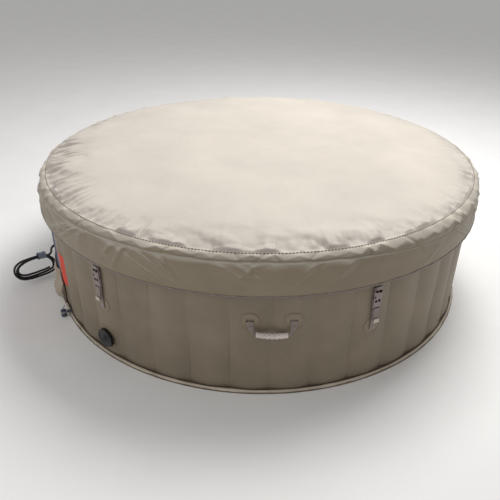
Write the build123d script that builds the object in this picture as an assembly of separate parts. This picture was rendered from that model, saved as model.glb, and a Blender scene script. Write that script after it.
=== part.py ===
from build123d import *
import math
import os

# Round inflatable hot tub with a fitted cover. Millimetres, +Z up, origin on the
# ground at the tub's centre. Azimuth 0 is the -Y side, where one carry handle sits
# on a chamber seam, and azimuth grows towards +X. The equipment bay faces -X.
# Features are drawn at azimuth 0, where outward is -Y, and then turned into place.

os.makedirs("parts", exist_ok=True)

# ---------------------------------------------------------------- driving sizes
CHAMBERS = 40            # vertical air chambers round the wall
PITCH = 360.0 / CHAMBERS
PANEL_CHAMBERS = 4       # chambers in one welded wall panel
PANEL_ANGLE = PANEL_CHAMBERS * PITCH
PANELS = CHAMBERS // PANEL_CHAMBERS
R_SEAM = 1030.0          # outer skin radius at the chamber seams
R_CREST = 1043.0         # outer skin radius at the chamber crests
R_IN = 800.0             # water-side radius of the inner wall
SKIN = 1.5               # laminated wall sheet
WALL_TOP = 560.0         # where the straight walls meet the rolled rim
BASE_T = 1.5
FLOOR_T = 12.0

BAY_AZ = -90.0           # equipment bay centre
BAY_HALF = PANEL_ANGLE / 2
BAY_START = BAY_AZ - BAY_HALF
BAY_Z0, BAY_Z1 = 40.0, 456.0

DRAIN_AZ, DRAIN_Z = -40.5, 96.0
VALVE_AZ, VALVE_Z = 175.5, 96.0
PORT_A, PORT_Z = 8.6, 170.0   # water ports, azimuth either side of the bay centre
PORT_HOLE_R = 26.5
AIR_Z, AIR_UNIT_Z = 34.0, 60.0  # air hose heights at the duct and at the unit
AIR_HOLE_R = 9.5


# ---------------------------------------------------------------------- helpers
def place(shape, az, z=0.0, y=0.0):
    """Move a feature drawn at azimuth 0 by y and z, then turn it to azimuth az."""
    return Rot(0, 0, az) * Pos(0, y, z) * shape


def block(x0, x1, y0, y1, z0, z1):
    centre = Pos((x0 + x1) / 2, (y0 + y1) / 2, (z0 + z1) / 2)
    return centre * Box(abs(x1 - x0), abs(y1 - y0), abs(z1 - z0))


def rod_x(radius, x0, x1, y=0.0, z=0.0):
    return Pos((x0 + x1) / 2, y, z) * Rot(0, 90, 0) * Cylinder(radius, abs(x1 - x0))


def rod_y(radius, y0, y1, x=0.0, z=0.0):
    return Pos(x, (y0 + y1) / 2, z) * Rot(90, 0, 0) * Cylinder(radius, abs(y1 - y0))


def rod_z(radius, z0, z1, x=0.0, y=0.0):
    return Pos(x, y, (z0 + z1) / 2) * Cylinder(radius, abs(z1 - z0))


def round_y(shape, step):
    """Copies of a shape round the Y axis, every step degrees."""
    return Compound(children=[Rot(0, angle, 0) * shape for angle in range(0, 360, step)])


def polar(radius, az):
    angle = math.radians(az)
    return (radius * math.sin(angle), -radius * math.cos(angle))


def sector(r0, r1, a0, a1, z0, z1):
    """Ring sector between two radii, two azimuths and two heights."""
    mid = (a0 + a1) / 2
    outer = ThreePointArc(polar(r1, a0), polar(r1, mid), polar(r1, a1))
    end = Line(polar(r1, a1), polar(r0, a1))
    inner = ThreePointArc(polar(r0, a1), polar(r0, mid), polar(r0, a0))
    start = Line(polar(r0, a0), polar(r1, a0))
    face = make_face(Curve() + [outer, end, inner, start])
    return Pos(0, 0, z0) * extrude(face, z1 - z0)


def revolved(points, a0=None, a1=None):
    """Solid of revolution about Z of an (r, z) polygon, whole or between azimuths."""
    face = make_face(Polyline([(r, 0, z) for r, z in points], close=True))
    if a0 is None:
        return revolve(face, Axis.Z, 360)
    return Rot(0, 0, a0 - 90) * revolve(face, Axis.Z, a1 - a0)


def service_holes(az, air_radius, air_z):
    """Cutters for the two water ports and the air hose, about azimuth az."""
    return [
        place(rod_y(PORT_HOLE_R, -900, -780), az + PORT_A, PORT_Z),
        place(rod_y(PORT_HOLE_R, -900, -780), az - PORT_A, PORT_Z),
        place(rod_y(air_radius, -900, -780), az, air_z),
    ]


def save(name, *shapes):
    """Write the solids of all the shapes as one piece."""
    solids = []
    for shape in shapes:
        # a boolean that leaves several solids may arrive here as a plain list
        solids += shape.solids() if hasattr(shape, "solids") else shape
    piece = Compound(children=solids) if len(solids) > 1 else solids[0]
    piece.label = name
    export_step(piece, f"parts/{name}.step")


# ------------------------------------------------------------------ the air wall
drain_hole = place(rod_y(30.6, -1060, -780), DRAIN_AZ, DRAIN_Z)
valve_hole = place(rod_y(15.6, -1060, -1000), VALVE_AZ, VALVE_Z)


def panel_start(index):
    """Start azimuth of a wall panel; panel 0 is the bay's."""
    return BAY_AZ + BAY_HALF + (index - 1) * PANEL_ANGLE


def in_panel(az, start):
    return start <= az <= start + PANEL_ANGLE


def scallop_arc(start, end, inset=0.0):
    seam, crest = R_SEAM - inset, R_CREST - inset
    return ThreePointArc(polar(seam, start), polar(crest, (start + end) / 2), polar(seam, end))


def scalloped_panel(start, z0, z1):
    """One panel of the outer skin, a run of bulging chambers."""
    spans = [(start + i * PITCH, start + (i + 1) * PITCH) for i in range(PANEL_CHAMBERS)]
    end = start + PANEL_ANGLE
    edges = [scallop_arc(left, right) for left, right in spans]
    edges.append(Line(polar(R_SEAM, end), polar(R_SEAM - SKIN, end)))
    edges += [scallop_arc(right, left, SKIN) for left, right in reversed(spans)]
    edges.append(Line(polar(R_SEAM - SKIN, start), polar(R_SEAM, start)))
    return Pos(0, 0, z0) * extrude(make_face(Curve() + edges), z1 - z0)


def outer_wall():
    panels = []
    for index in range(1, PANELS):
        start = panel_start(index)
        panel = scalloped_panel(start, BASE_T, WALL_TOP)
        if in_panel(DRAIN_AZ, start):
            panel = panel - drain_hole
        if in_panel(VALVE_AZ, start):
            panel = panel - valve_hole
        panels.append(panel)
    # the bay's panel keeps only the strips below and above the opening
    panels.append(scalloped_panel(BAY_START, BASE_T, BAY_Z0))
    panels.append(scalloped_panel(BAY_START, BAY_Z1, WALL_TOP))
    return panels


def inner_wall():
    """Water-side sheet, with holes for the drain, the water ports and the air hose."""
    panels = []
    for index in range(PANELS):
        start = panel_start(index)
        panel = sector(R_IN, R_IN + SKIN, start, start + PANEL_ANGLE, BASE_T, WALL_TOP)
        if index == 0:
            for hole in service_holes(BAY_AZ, AIR_HOLE_R, AIR_Z):
                panel = panel - hole
        if in_panel(DRAIN_AZ, start):
            panel = panel - drain_hole
        panels.append(panel)
    return panels


RIM_R = 1037.0           # outer radius of the rolled rim
ROLL_R = 90.0            # radius of the rim's two shoulders


def rim_line(radius):
    """(r, z) points over the rim, with shoulders of the given radius."""
    points = []
    for centre, first in ((RIM_R - ROLL_R, 0), (R_IN + ROLL_R, 90)):
        for i in range(11):
            angle = math.radians(first + 90 * i / 10)
            points.append(
                (centre + radius * math.cos(angle), WALL_TOP + radius * math.sin(angle))
            )
    return points


def top_rim():
    """Two quarter-round shoulders and a flat crown, in welded lengths."""
    outline = rim_line(ROLL_R) + rim_line(ROLL_R - SKIN)[::-1]
    starts = [BAY_START + i * PANEL_ANGLE for i in range(PANELS)]
    return [revolved(outline, start, start + PANEL_ANGLE) for start in starts]


def wall_webs():
    """Tension webs between the walls, one at each chamber seam outside the bay."""
    gap = SKIN + 0.4
    web = block(-0.5, 0.5, -(R_SEAM - gap), -(R_IN + gap), 30, 540)
    webs = []
    for i in range(CHAMBERS):
        from_bay = abs((i * PITCH - BAY_AZ + 180) % 360 - 180)
        if from_bay >= BAY_HALF - 0.1:
            webs.append(place(web, i * PITCH))
    return webs


save("outer_wall", *outer_wall())
save("inner_wall", *inner_wall())
save("top_rim", *top_rim())
save("wall_webs", *wall_webs())

# ------------------------------------------------------------------ base and floor
FLOOR_TOP = BASE_T + FLOOR_T
save("base_sheet", rod_z(1056.0, 0, BASE_T))
save("base_piping", Pos(0, 0, 6.2) * Torus(1062.0, 5.0))
# air-filled floor mat: two sheets joined round the edge
save(
    "tub_floor",
    rod_z(R_IN - 0.5, BASE_T, FLOOR_TOP) - rod_z(R_IN - 2.0, BASE_T + 1.0, FLOOR_TOP - 1.0),
)

# perforated air duct that makes the bubbles, at the foot of the inner wall
DUCT_R0, DUCT_R1, DUCT_TOP = 738.0, 796.0, 52.0
DUCT_BEVEL_R, DUCT_BEVEL_Z = DUCT_R0 + 22, DUCT_TOP - 20
DUCT_T = 1.5


def bubble_duct():
    outside = [
        (DUCT_R1, FLOOR_TOP),
        (DUCT_R1, DUCT_TOP),
        (DUCT_BEVEL_R, DUCT_TOP),
        (DUCT_R0, DUCT_BEVEL_Z),
        (DUCT_R0, FLOOR_TOP),
    ]
    inside = [
        (DUCT_R1 - DUCT_T, FLOOR_TOP + DUCT_T),
        (DUCT_R1 - DUCT_T, DUCT_TOP - DUCT_T),
        (DUCT_BEVEL_R + DUCT_T * 0.4, DUCT_TOP - DUCT_T),
        (DUCT_R0 + DUCT_T, DUCT_BEVEL_Z - DUCT_T * 0.4),
        (DUCT_R0 + DUCT_T, FLOOR_TOP + DUCT_T),
    ]
    hole = rod_z(2.0, DUCT_TOP - 8, DUCT_TOP + 4, y=-(DUCT_R0 + 40))
    holes = Compound(children=[place(hole, az) for az in range(5, 360, 10)])
    inlet = place(rod_y(AIR_HOLE_R, -(DUCT_R1 + 5), -(DUCT_R1 - 12)), BAY_AZ, AIR_Z)
    return revolved(outside) - revolved(inside) - holes - inlet


save("bubble_duct", bubble_duct())

# ------------------------------------------------------------------- drain valve
GRID_PITCH = 6.5         # drain strainer holes


def drain_body():
    body = (
        rod_y(30.0, -1046.0, -796.0)
        + rod_y(46.0, -1045.8, -1043.3)
        + rod_y(29.0, -1060.0, -1045.0)
        + rod_y(40.0, -798.8, -796.4)
    )
    steps = [GRID_PITCH * i for i in range(-3, 4)]
    grid = [
        rod_y(2.4, -805, -790, x=x, z=z) for x in steps for z in steps if x**2 + z**2 < 22.0**2
    ]
    return body - rod_y(25.0, -1061, -799.4) - Compound(children=grid)


def drain_cap():
    """Screw cap with a slotted boss and notches round its edge."""
    cap = rod_y(37.0, -1064.0, -1048.4) - rod_y(29.8, -1061.0, -1048.0)
    cap = cap + rod_y(11.0, -1068.0, -1063.0)
    cap = cap - block(-9, 9, -1069, -1065.5, -1.6, 1.6)
    return cap - round_y(block(-1.5, 1.5, -1062.5, -1048.0, 36.0, 38.5), 15)


drain_gasket = rod_y(36.0, -1048.2, -1046.0) - rod_y(31.2, -1050, -1044)
save("drain_body", place(drain_body(), DRAIN_AZ, DRAIN_Z))
save("drain_gasket", place(drain_gasket, DRAIN_AZ, DRAIN_Z))
save("drain_cap", place(drain_cap(), DRAIN_AZ, DRAIN_Z))


# --------------------------------------------------------------- inflation valve
def air_valve_body():
    body = rod_y(22.0, -1045.2, -1043.3) + rod_y(15.0, -1064.0, -1022.0)
    body = body - rod_y(11.0, -1065, -1036.0) + rod_y(3.2, -1058.0, -1035.0)
    body = body - round_y(rod_y(1.8, -1040, -1020, x=6.8), 90)
    return body + block(-5, 5, -1064.0, -1058.0, 14, 19)


air_valve_cap = rod_y(18.5, -1076.0, -1064.4) - rod_y(15.6, -1070.0, -1064.0)
air_valve_cap = air_valve_cap + block(-4, 4, -1070.0, -1064.6, 17.5, 23.0)
save("air_valve_body", place(air_valve_body(), VALVE_AZ, VALVE_Z))
save("air_valve_cap", place(air_valve_cap, VALVE_AZ, VALVE_Z))

# ------------------------------------------------------------ straps and buckles
BUCKLE_AZ = (-40.5, 22.5, 85.5, 148.5, -148.5)
ANCHOR_Z = 262.0         # lower strap anchor height
WEB_HALF, WEB_T = 12.5, 1.6              # webbing half width and thickness
WEB_BACK, WEB_FRONT = -1047.0, -1056.8   # y of the webbing's two outer faces
LOWER_FOLD, UPPER_FOLD = 358.6, 439.0    # heights where the straps fold over
LADDER_Y = (-1054.6, -1049.0)
PRONG_Y = (-1054.6, -1048.4)
SOCKET_Z0, SOCKET_Z1 = 386.0, 452.0


def webbing(y0, y1, z0, z1):
    return block(-WEB_HALF, WEB_HALF, y0, y1, z0, z1)


def strap_loop(back, fold, front):
    """Webbing folded round a ladder bar; each argument is a (z0, z1) range."""
    return (
        webbing(WEB_BACK - WEB_T, WEB_BACK, *back)
        + webbing(WEB_FRONT, WEB_BACK, *fold)
        + webbing(WEB_FRONT, WEB_FRONT + WEB_T, *front)
    )


def ladder_slot(z0, z1):
    return block(-13.2, 13.2, -1060, -1040, z0, z1)


def buckle_plug():
    """Body, ladder, guide tongue and two barbed prongs."""
    body = block(-17, 17, -1056.4, -1046.6, 362, 385.4)
    ladder = block(-16, 16, *LADDER_Y, 334, 363)
    ladder = ladder - ladder_slot(354.5, 361) - ladder_slot(340, 346)
    prong = block(-13.6, -8.2, *PRONG_Y, 384, 418)
    barb = block(-14.8, -8.2, *PRONG_Y, 408, 421)
    guide = block(-2.5, 2.5, -1053.8, -1049.2, 384, 414)
    return body + ladder + prong + barb + guide + mirror(prong + barb, Plane.YZ)


def buckle_socket():
    """Hollow box with side windows, open below, with a ladder above."""
    socket = block(-18, 18, -1057.2, -1045.8, SOCKET_Z0, 434)
    socket = socket - block(-15.4, 15.4, -1055.2, -1047.8, SOCKET_Z0 - 1, 426)
    socket = socket - block(-19, 19, *PRONG_Y, 400, 421)
    socket = socket + block(-2.0, 2.0, -1057.2, -1054.9, 392, 420)
    ladder = block(-17, 17, *LADDER_Y, 433, SOCKET_Z1) - ladder_slot(437, 442.4)
    return socket + ladder


# up the back, through the ladder and down the front, with a foot at the patch
lower_strap = strap_loop(
    back=(ANCHOR_Z - 2, LOWER_FOLD),
    fold=(LOWER_FOLD - WEB_T, LOWER_FOLD),
    front=(298, LOWER_FOLD),
) + webbing(WEB_BACK - WEB_T, -1045.1, ANCHOR_Z - 6, ANCHOR_Z - 2)
upper_strap = strap_loop(
    back=(UPPER_FOLD, 505),
    fold=(UPPER_FOLD, UPPER_FOLD + WEB_T),
    front=(UPPER_FOLD, 454.0),
)
for name, shape in (
    ("lower_straps", lower_strap),
    ("buckle_plugs", buckle_plug()),
    ("buckle_sockets", buckle_socket()),
    ("upper_straps", upper_strap),
):
    save(name, *[place(shape, az) for az in BUCKLE_AZ])

# ----------------------------------------------------- carry handles and patches
HANDLE_AZ = (0.0, 117.0, -117.0)
HANDLE_Z = 352.0         # handle slit height
HANDLE_X = 82.0          # handle slit offset either side of the seam
HINGE_Y = -1047.5        # where the webbing leaves the slits
HANDLE_TILT = 13.0
GRIP_HALF, GRIP_R = 60.0, 11.0
GRIP_Z = -50.0           # grip axis from the hinge line
CORE_R = 5.0             # rolled webbing inside the grip


def handle_leg(side):
    points = [                           # distance from the seam, height from the hinge
        (HANDLE_X + WEB_HALF, -4),
        (HANDLE_X - WEB_HALF, -4),
        (GRIP_HALF + 1.5, -43.6),
        (GRIP_HALF - 3, GRIP_Z + CORE_R),
        (GRIP_HALF - 3, GRIP_Z - CORE_R),
        (GRIP_HALF + 1.5, -56.4),
        (HANDLE_X + 4, -30),
    ]
    face = make_face(Polyline([(side * x, 0, z) for x, z in points], close=True))
    return extrude(face, 0.9, both=True)


core = rod_x(CORE_R, -(GRIP_HALF - 2), GRIP_HALF - 2, z=GRIP_Z)
handle_webbing = handle_leg(-1) + handle_leg(1) + core
handle_grip = rod_x(GRIP_R, -GRIP_HALF, GRIP_HALF, z=GRIP_Z) - rod_x(
    8.4, -2 * GRIP_HALF, 2 * GRIP_HALF, z=GRIP_Z
)
for number, az in enumerate(HANDLE_AZ, 1):
    for part, shape in (("webbing", handle_webbing), ("grip", handle_grip)):
        tilted = Rot(-HANDLE_TILT, 0, 0) * shape
        save(f"handle_{number}_{part}", place(tilted, az, HANDLE_Z, HINGE_Y))

# round patches under the strap anchors and under both ends of each handle
patch = rod_y(37.0, -1044.9, -1043.4)
save(
    "anchor_patches",
    *[place(patch, az, ANCHOR_Z + 4) for az in BUCKLE_AZ],
    *[place(patch, az + side * PITCH / 2, HANDLE_Z) for az in HANDLE_AZ for side in (-1, 1)],
)

# -------------------------------------------------------------------------- cover
# all outlines are (r, z)
COVER_T = 2.0
HEM_Z = 458.0
COVER_TOP = [
    (0, 688), (400, 685), (700, 677), (880, 668), (960, 661), (1005, 650), (1032, 637),
    (1043, 628),
]
SKIRT = [(1045.4, 626.0), (1053, 612), (1056.5, 590), (1055, 540), (1056, 470)]
HEM = [
    (1052.6, HEM_Z), (1058.6, HEM_Z), (1058.6, 478), (1056.6, 478), (1056.4, 469.4),
    (1052.6, 469.4),
]
LID_OUTSIDE = [
    (0, 590), (700, 590), (745, 596), (772, 612), (780, 628), (772, 642), (745, 655),
    (700, 664), (400, 676), (0, 680),
]
LID_INSIDE = [
    (0, 591), (699.9, 591), (744.5, 596.9), (771.1, 612.4), (779, 628), (771.1, 641.6),
    (744.6, 654.0), (699.9, 662.9), (399.9, 674.9), (0, 678.9),
]

# the sheet's other face, with the end point next to the piping set by hand
top_underside = [(r, z - COVER_T) for r, z in COVER_TOP[:-1]] + [(1041.6, 626.6)]
skirt_inside = [(1043.0, 625.0)] + [(r - COVER_T, z) for r, z in SKIRT[1:]]
save("cover_top", revolved(COVER_TOP + top_underside[::-1]))
save("cover_skirt", revolved(SKIRT + skirt_inside[::-1]))
save("cover_piping", Pos(0, 0, 629.6) * Torus(1046.4, 2.2))
save("cover_hem", revolved(HEM))
# inflated lid: an air-filled skin with a stepped round boss underneath
save(
    "lid_bladder",
    revolved(LID_OUTSIDE)
    - revolved(LID_INSIDE)
    + rod_z(14, 583.0, 590.6, y=-560)
    + rod_z(9, 578.0, 584.0, y=-560),
)

# ------------------------------------------------------- bay liner and unit casing
UNIT_HALF = 16.5         # half angle of the unit
UNIT_Z0, UNIT_Z1 = 48.0, 450.0
UNIT_BACK, UNIT_SPLIT, UNIT_FACE = 868.0, 1020.0, 1056.0   # radii
UNIT_T = 3.0
PANEL_HALF, PANEL_Z0, PANEL_Z1 = 6.0, 312.0, 422.0         # control fascia opening
GLAND_A, GLAND_Z = 12.0, 222.0
SCREWS = [(az, z) for az in (-15.2, 15.2) for z in (80.0, 250.0, 432.0)]
VENT_A, VENT_HALF = 12.0, 2.6                              # casing vent slots


def cut_services(shell):
    for hole in service_holes(0, 10.5, AIR_UNIT_Z):
        shell = shell - hole
    return shell


def face_hole(radius, az, z):
    """Cutter through the front of the unit."""
    return place(rod_y(radius, -1075, -1040), az, z)


def bay_liner():
    liner = sector(860, 1028.2, -17.5, 17.5, BAY_Z0 + 1, BAY_Z1 - 1)
    return cut_services(liner - sector(862, 1040, -17.3, 17.3, BAY_Z0 + 3, BAY_Z1 - 3))


def unit_shell(r0, r1, hollow_r0, hollow_r1):
    """Half of the casing, open where the hollow runs past its radii."""
    side = UNIT_HALF - 0.2
    return sector(r0, r1, -UNIT_HALF, UNIT_HALF, UNIT_Z0, UNIT_Z1) - sector(
        hollow_r0, hollow_r1, -side, side, UNIT_Z0 + UNIT_T, UNIT_Z1 - UNIT_T
    )


def unit_front_shell():
    front = unit_shell(UNIT_SPLIT + 0.3, UNIT_FACE, UNIT_SPLIT - 10, UNIT_FACE - UNIT_T)
    front = front - sector(
        UNIT_SPLIT + 20, UNIT_FACE + 5, -PANEL_HALF, PANEL_HALF, PANEL_Z0, PANEL_Z1
    )
    slots = []
    for az in (-VENT_A, VENT_A):
        for z in range(306, 418, 14):
            slots.append(
                sector(UNIT_FACE - 8, UNIT_FACE + 5, az - VENT_HALF, az + VENT_HALF, z, z + 5)
            )
    front = front - Compound(children=slots) - face_hole(7.2, GLAND_A, GLAND_Z)
    for az, z in SCREWS:
        front = front - face_hole(2.6, az, z)
    return front


def unit_screw():
    screw = rod_y(4.4, -(UNIT_FACE + 2.8), -(UNIT_FACE + 0.3))
    screw = screw + rod_y(2.2, -(UNIT_FACE + 1.0), -(UNIT_FACE - 26))
    return screw - block(-3, 3, -(UNIT_FACE + 4), -(UNIT_FACE + 2.0), -0.5, 0.5)


rear_shell = unit_shell(UNIT_BACK, UNIT_SPLIT, UNIT_BACK + UNIT_T, UNIT_SPLIT + 10)
save("bay_liner", place(bay_liner(), BAY_AZ))
save("unit_rear_shell", place(cut_services(rear_shell), BAY_AZ))
save("unit_front_shell", place(unit_front_shell(), BAY_AZ))
save("unit_screws", *[place(unit_screw(), BAY_AZ + az, z) for az, z in SCREWS])

# ------------------------------------------------ fascia, lens, buttons and gland
BUTTON_PITCH, BUTTON_Z = 2.05, 340.0     # degrees apart, height
BUTTONS = {
    name: (i - 2) * BUTTON_PITCH
    for i, name in enumerate(("heat", "filter", "bubble", "up", "down"))
}


def control_fascia():
    half = PANEL_HALF - 0.06
    fascia = sector(UNIT_FACE - 4.0, UNIT_FACE + 1.0, -half, half, PANEL_Z0 + 1, PANEL_Z1 - 1)
    for az in BUTTONS.values():
        fascia = fascia - face_hole(9.3, az, BUTTON_Z)
    return fascia - sector(UNIT_FACE - 1.2, UNIT_FACE + 5, -4.2, 4.2, 368, 408)


lens = sector(UNIT_FACE - 1.1, UNIT_FACE + 1.0, -4.15, 4.15, 368.6, 407.4)
save("control_fascia", place(control_fascia(), BAY_AZ))
save("display_lens", place(lens, BAY_AZ))

button = rod_y(9.0, -(UNIT_FACE + 3.2), -(UNIT_FACE - 6.0))
button = button + rod_y(11.0, -(UNIT_FACE - 5.4), -(UNIT_FACE - 8.0))
for name, az in BUTTONS.items():
    save(f"button_{name}", place(button, BAY_AZ + az, BUTTON_Z))

gland = rod_y(6.9, -(UNIT_FACE + 9), -(UNIT_FACE - 8))
gland = gland + rod_y(10.5, -(UNIT_FACE + 5), -(UNIT_FACE + 0.4)) - rod_y(5.4, -1080, -1040)
save("cable_gland", place(gland, BAY_AZ + GLAND_A, GLAND_Z))

# ----------------------------------------------------------- inside the equipment unit
# pump, heater and blower are drawn along X on their own axes
PUMP_Y, PUMP_Z = -945.0, 250.0
BLOWER_Y, BLOWER_Z = -945.0, 385.0
HEATER_Y, HEATER_Z = -950.0, 108.0


def add_blades(hub, blade, step):
    for angle in range(0, 360, step):
        hub = hub + Rot(angle, 0, 0) * blade
    return hub


pump_motor = rod_x(42, -60, 60) - rod_x(5.05, 30, 61) + block(-45, 45, -30, 30, -52, -40)
pump_volute = rod_x(44, 62, 104) - rod_x(39, 65, 101) - rod_x(6.5, 60, 66) - rod_x(12, 100, 105)
pump_impeller = add_blades(
    rod_x(34, 74, 77) + rod_x(9, 70, 84) + rod_x(5.0, 32, 76),
    block(76.5, 88, -1.2, 1.2, 7.0, 33.0),
    60,
)
save("pump_motor", place(pump_motor, BAY_AZ, PUMP_Z, PUMP_Y))
save("pump_volute", place(pump_volute, BAY_AZ, PUMP_Z, PUMP_Y))
save("pump_impeller", place(pump_impeller, BAY_AZ, PUMP_Z, PUMP_Y))

heater_tube = rod_x(27, -120, 60) - rod_x(24.5, -118, 58)
save("heater_tube", place(heater_tube, BAY_AZ, HEATER_Z, HEATER_Y))

blower_motor = rod_x(36, -150, -84) - rod_x(4.05, -104, -83)
blower_housing = (
    rod_x(58, -82, -34) - rod_x(54, -79, -37) - rod_x(5.2, -84, -78) - rod_x(22, -38, -33)
)
blower_fan = add_blades(
    rod_x(50, -75, -72.5) + rod_x(9, -76, -52) + rod_x(4.0, -102, -74),
    block(-73, -44, -0.9, 0.9, 34, 49.5),
    30,
)
save("blower_motor", place(blower_motor, BAY_AZ, BLOWER_Z, BLOWER_Y))
save("blower_housing", place(blower_housing, BAY_AZ, BLOWER_Z, BLOWER_Y))
save("blower_fan", place(blower_fan, BAY_AZ, BLOWER_Z, BLOWER_Y))

# control board with its relays and transformer
control_board = (
    block(20, 170, -1000, -998, 330, 440)
    + block(40, 75, -998.2, -970, 350, 385)
    + block(90, 120, -998.2, -978, 345, 370)
    + block(90, 112, -998.2, -985, 400, 425)
)
save("control_board", place(control_board, BAY_AZ))

# ---------------------------------------------------------- water ports and hoses
BALL_Y, BALL_R = -784.0, 21.2            # outlet eyeball
HOSE_R, ELBOW_R = 17.0, 17.6
AIR_HOSE_R, AIR_ELBOW_R, AIR_BEND_Y = 9.0, 9.4, -848.0


def water_port():
    """Flanged tube through the liner and the inner wall."""
    port = rod_y(26.0, -876.0, -797.0) + rod_y(38.0, -798.8, -795.0)
    return port + rod_y(24.0, -795.2, -780.0) - rod_y(20.0, -880, -770)


def water_hose(reach, az, z0, z1):
    """Hose from a port out to radius reach, with an upright between z0 and z1."""
    x, y = polar(reach, az)
    hose = place(rod_y(HOSE_R, -reach, -876.6), az, PORT_Z)
    return hose + Pos(x, y, PORT_Z) * Sphere(ELBOW_R) + rod_z(HOSE_R, z0, z1, x=x, y=y)


def suction_hose():
    reach = 955.7
    x, y = polar(reach, PORT_A)
    hose = water_hose(reach, PORT_A, PORT_Z, PUMP_Z) + Pos(x, y, PUMP_Z) * Sphere(ELBOW_R)
    return hose + rod_x(11.6, 102.0, x, y=PUMP_Y, z=PUMP_Z)


def air_hose():
    hose = rod_y(AIR_HOSE_R, -850, -792.0, z=AIR_Z)
    hose = hose + Pos(0, AIR_BEND_Y, AIR_Z) * Sphere(AIR_ELBOW_R)
    hose = hose + rod_z(AIR_HOSE_R, AIR_Z, AIR_UNIT_Z, y=AIR_BEND_Y)
    hose = hose + Pos(0, AIR_BEND_Y, AIR_UNIT_Z) * Sphere(AIR_ELBOW_R)
    return hose + rod_y(AIR_HOSE_R, -905, AIR_BEND_Y, z=AIR_UNIT_Z)


outlet = water_port() - Pos(0, BALL_Y, 0) * Sphere(BALL_R + 0.2)
eyeball = Pos(0, BALL_Y, 0) * Sphere(BALL_R) & block(-30, 30, -799, -775, -30, 30)
eyeball = eyeball - rod_y(8.0, -830, -760)
return_hose = water_hose(925.0, -PORT_A, 90.0, PORT_Z)
save(
    "water_ports",
    place(water_port(), BAY_AZ + PORT_A, PORT_Z),
    place(outlet, BAY_AZ - PORT_A, PORT_Z),
)
save("nozzle_eyeball", place(eyeball, BAY_AZ - PORT_A, PORT_Z))
save("water_hoses", place(suction_hose(), BAY_AZ), place(return_hose, BAY_AZ))
save("air_hose", place(air_hose(), BAY_AZ))

# ---------------------------------------------------------------- flap and toggle
FLAP_HALF, FLAP_END = 24.0, 16.6         # flap half angle, where its full ends start
FLAP_Z0, FLAP_Z1 = 14.0, 190.0
TOGGLE_AZ = -61.5        # moulded toggle beside the flap's end


def flap_piece(r_in, bulge, a0, a1):
    profile = [
        (r_in, FLAP_Z0),
        (r_in + 12, FLAP_Z0),
        (r_in + bulge * 0.8, 50),
        (r_in + bulge, 95),
        (r_in + bulge * 0.8, 140),
        (r_in + 8, FLAP_Z1),
        (r_in, FLAP_Z1),
    ]
    return revolved(profile, a0, a1)


# soft flap over the lower half of the unit, fuller at its two ends
flap = flap_piece(1060.2, 14.0, -17.0, 17.0)
flap = flap + flap_piece(1045.4, 44.0, FLAP_END, FLAP_HALF)
flap = flap + flap_piece(1045.4, 44.0, -FLAP_HALF, -FLAP_END)
toggle = rod_z(12.5, 2.0, 34.0, y=-1081.0) + block(-5, 5, -1080, -1045.0, 17, 25)
save("bay_flap", place(flap, BAY_AZ))
save("flap_toggle", place(toggle, TOGGLE_AZ))

# ------------------------------------------------------------------- supply cable
# three turns of a long loop standing outwards from the gland
CABLE_R = 4.6
COIL_R, COIL_Z = 1180.0, 118.0           # coil centre: distance from the tub axis, height
COIL_LONG, COIL_HIGH = 88.0, 48.0        # half length and half height of the loop
COIL_TILT = math.radians(-15.0)
COIL_PITCH = 9.6


def coil_point(turns):
    """Point on the coil after so many turns, starting at its inner top."""
    angle = math.radians(150) - 2 * math.pi * turns
    along = COIL_LONG * math.cos(angle)
    up = COIL_HIGH * math.sin(angle) * (0.9 + 0.1 * math.cos(angle))
    return (
        COIL_PITCH * (turns - 1.5),
        -(COIL_R + along * math.cos(COIL_TILT) - up * math.sin(COIL_TILT)),
        COIL_Z + along * math.sin(COIL_TILT) + up * math.cos(COIL_TILT),
    )


def power_cable():
    lead = [                             # x, y, z from inside the gland to the coil
        (0.0, -(UNIT_FACE - 6), GLAND_Z),
        (0.0, -(UNIT_FACE + 2), GLAND_Z),
        (0.0, -(UNIT_FACE + 10), GLAND_Z),
        (-6.0, -(UNIT_FACE + 29), GLAND_Z - 18),
        (-12.0, -(UNIT_FACE + 38), GLAND_Z - 46),
    ]
    path = Spline(*(lead + [coil_point(0.02 + i / 12) for i in range(35)]))
    section = Plane(origin=path @ 0, z_dir=path % 0) * Circle(CABLE_R)
    return sweep(section, path=path, is_frenet=True)


def cable_tie():
    """Rectangular band round all three turns."""
    _, y, z = coil_point(0.125)
    tie = block(-22, 16, y - 9, y + 9, z - 12, z + 12)
    return tie - block(-20.4, 14.4, y - 12, y + 12, z - 10, z + 10)


save("power_cable", place(power_cable(), BAY_AZ + GLAND_A))
save("cable_tie", place(cable_tie(), BAY_AZ + GLAND_A))


# ------------------------------------------------------------ filter on the inlet
def filter_cartridge():
    cartridge = rod_y(48.0, -768.0, -702.0) - rod_y(20.0, -770, -700)
    return cartridge - round_y(block(-1.6, 1.6, -765, -705, 42.0, 49.0), 15)


def filter_base():
    base = rod_y(54.0, -779.4, -772.0) + rod_y(30.0, -793.0, -779.0)
    base = base - rod_y(24.6, -794, -780.0) - rod_y(18.0, -795, -770)
    return base + (rod_y(19.6, -772.2, -706.0) - rod_y(17.0, -780, -700))


def filter_cap():
    cap = rod_y(54.0, -771.6, -696.0) - rod_y(50.5, -772, -699.5)
    return cap - round_y(block(-3.0, 3.0, -762, -708, 45.0, 58.0), 20)


save("filter_cartridge", place(filter_cartridge(), BAY_AZ + PORT_A, PORT_Z))
save("filter_base", place(filter_base(), BAY_AZ + PORT_A, PORT_Z))
save("filter_cap", place(filter_cap(), BAY_AZ + PORT_A, PORT_Z))
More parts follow.
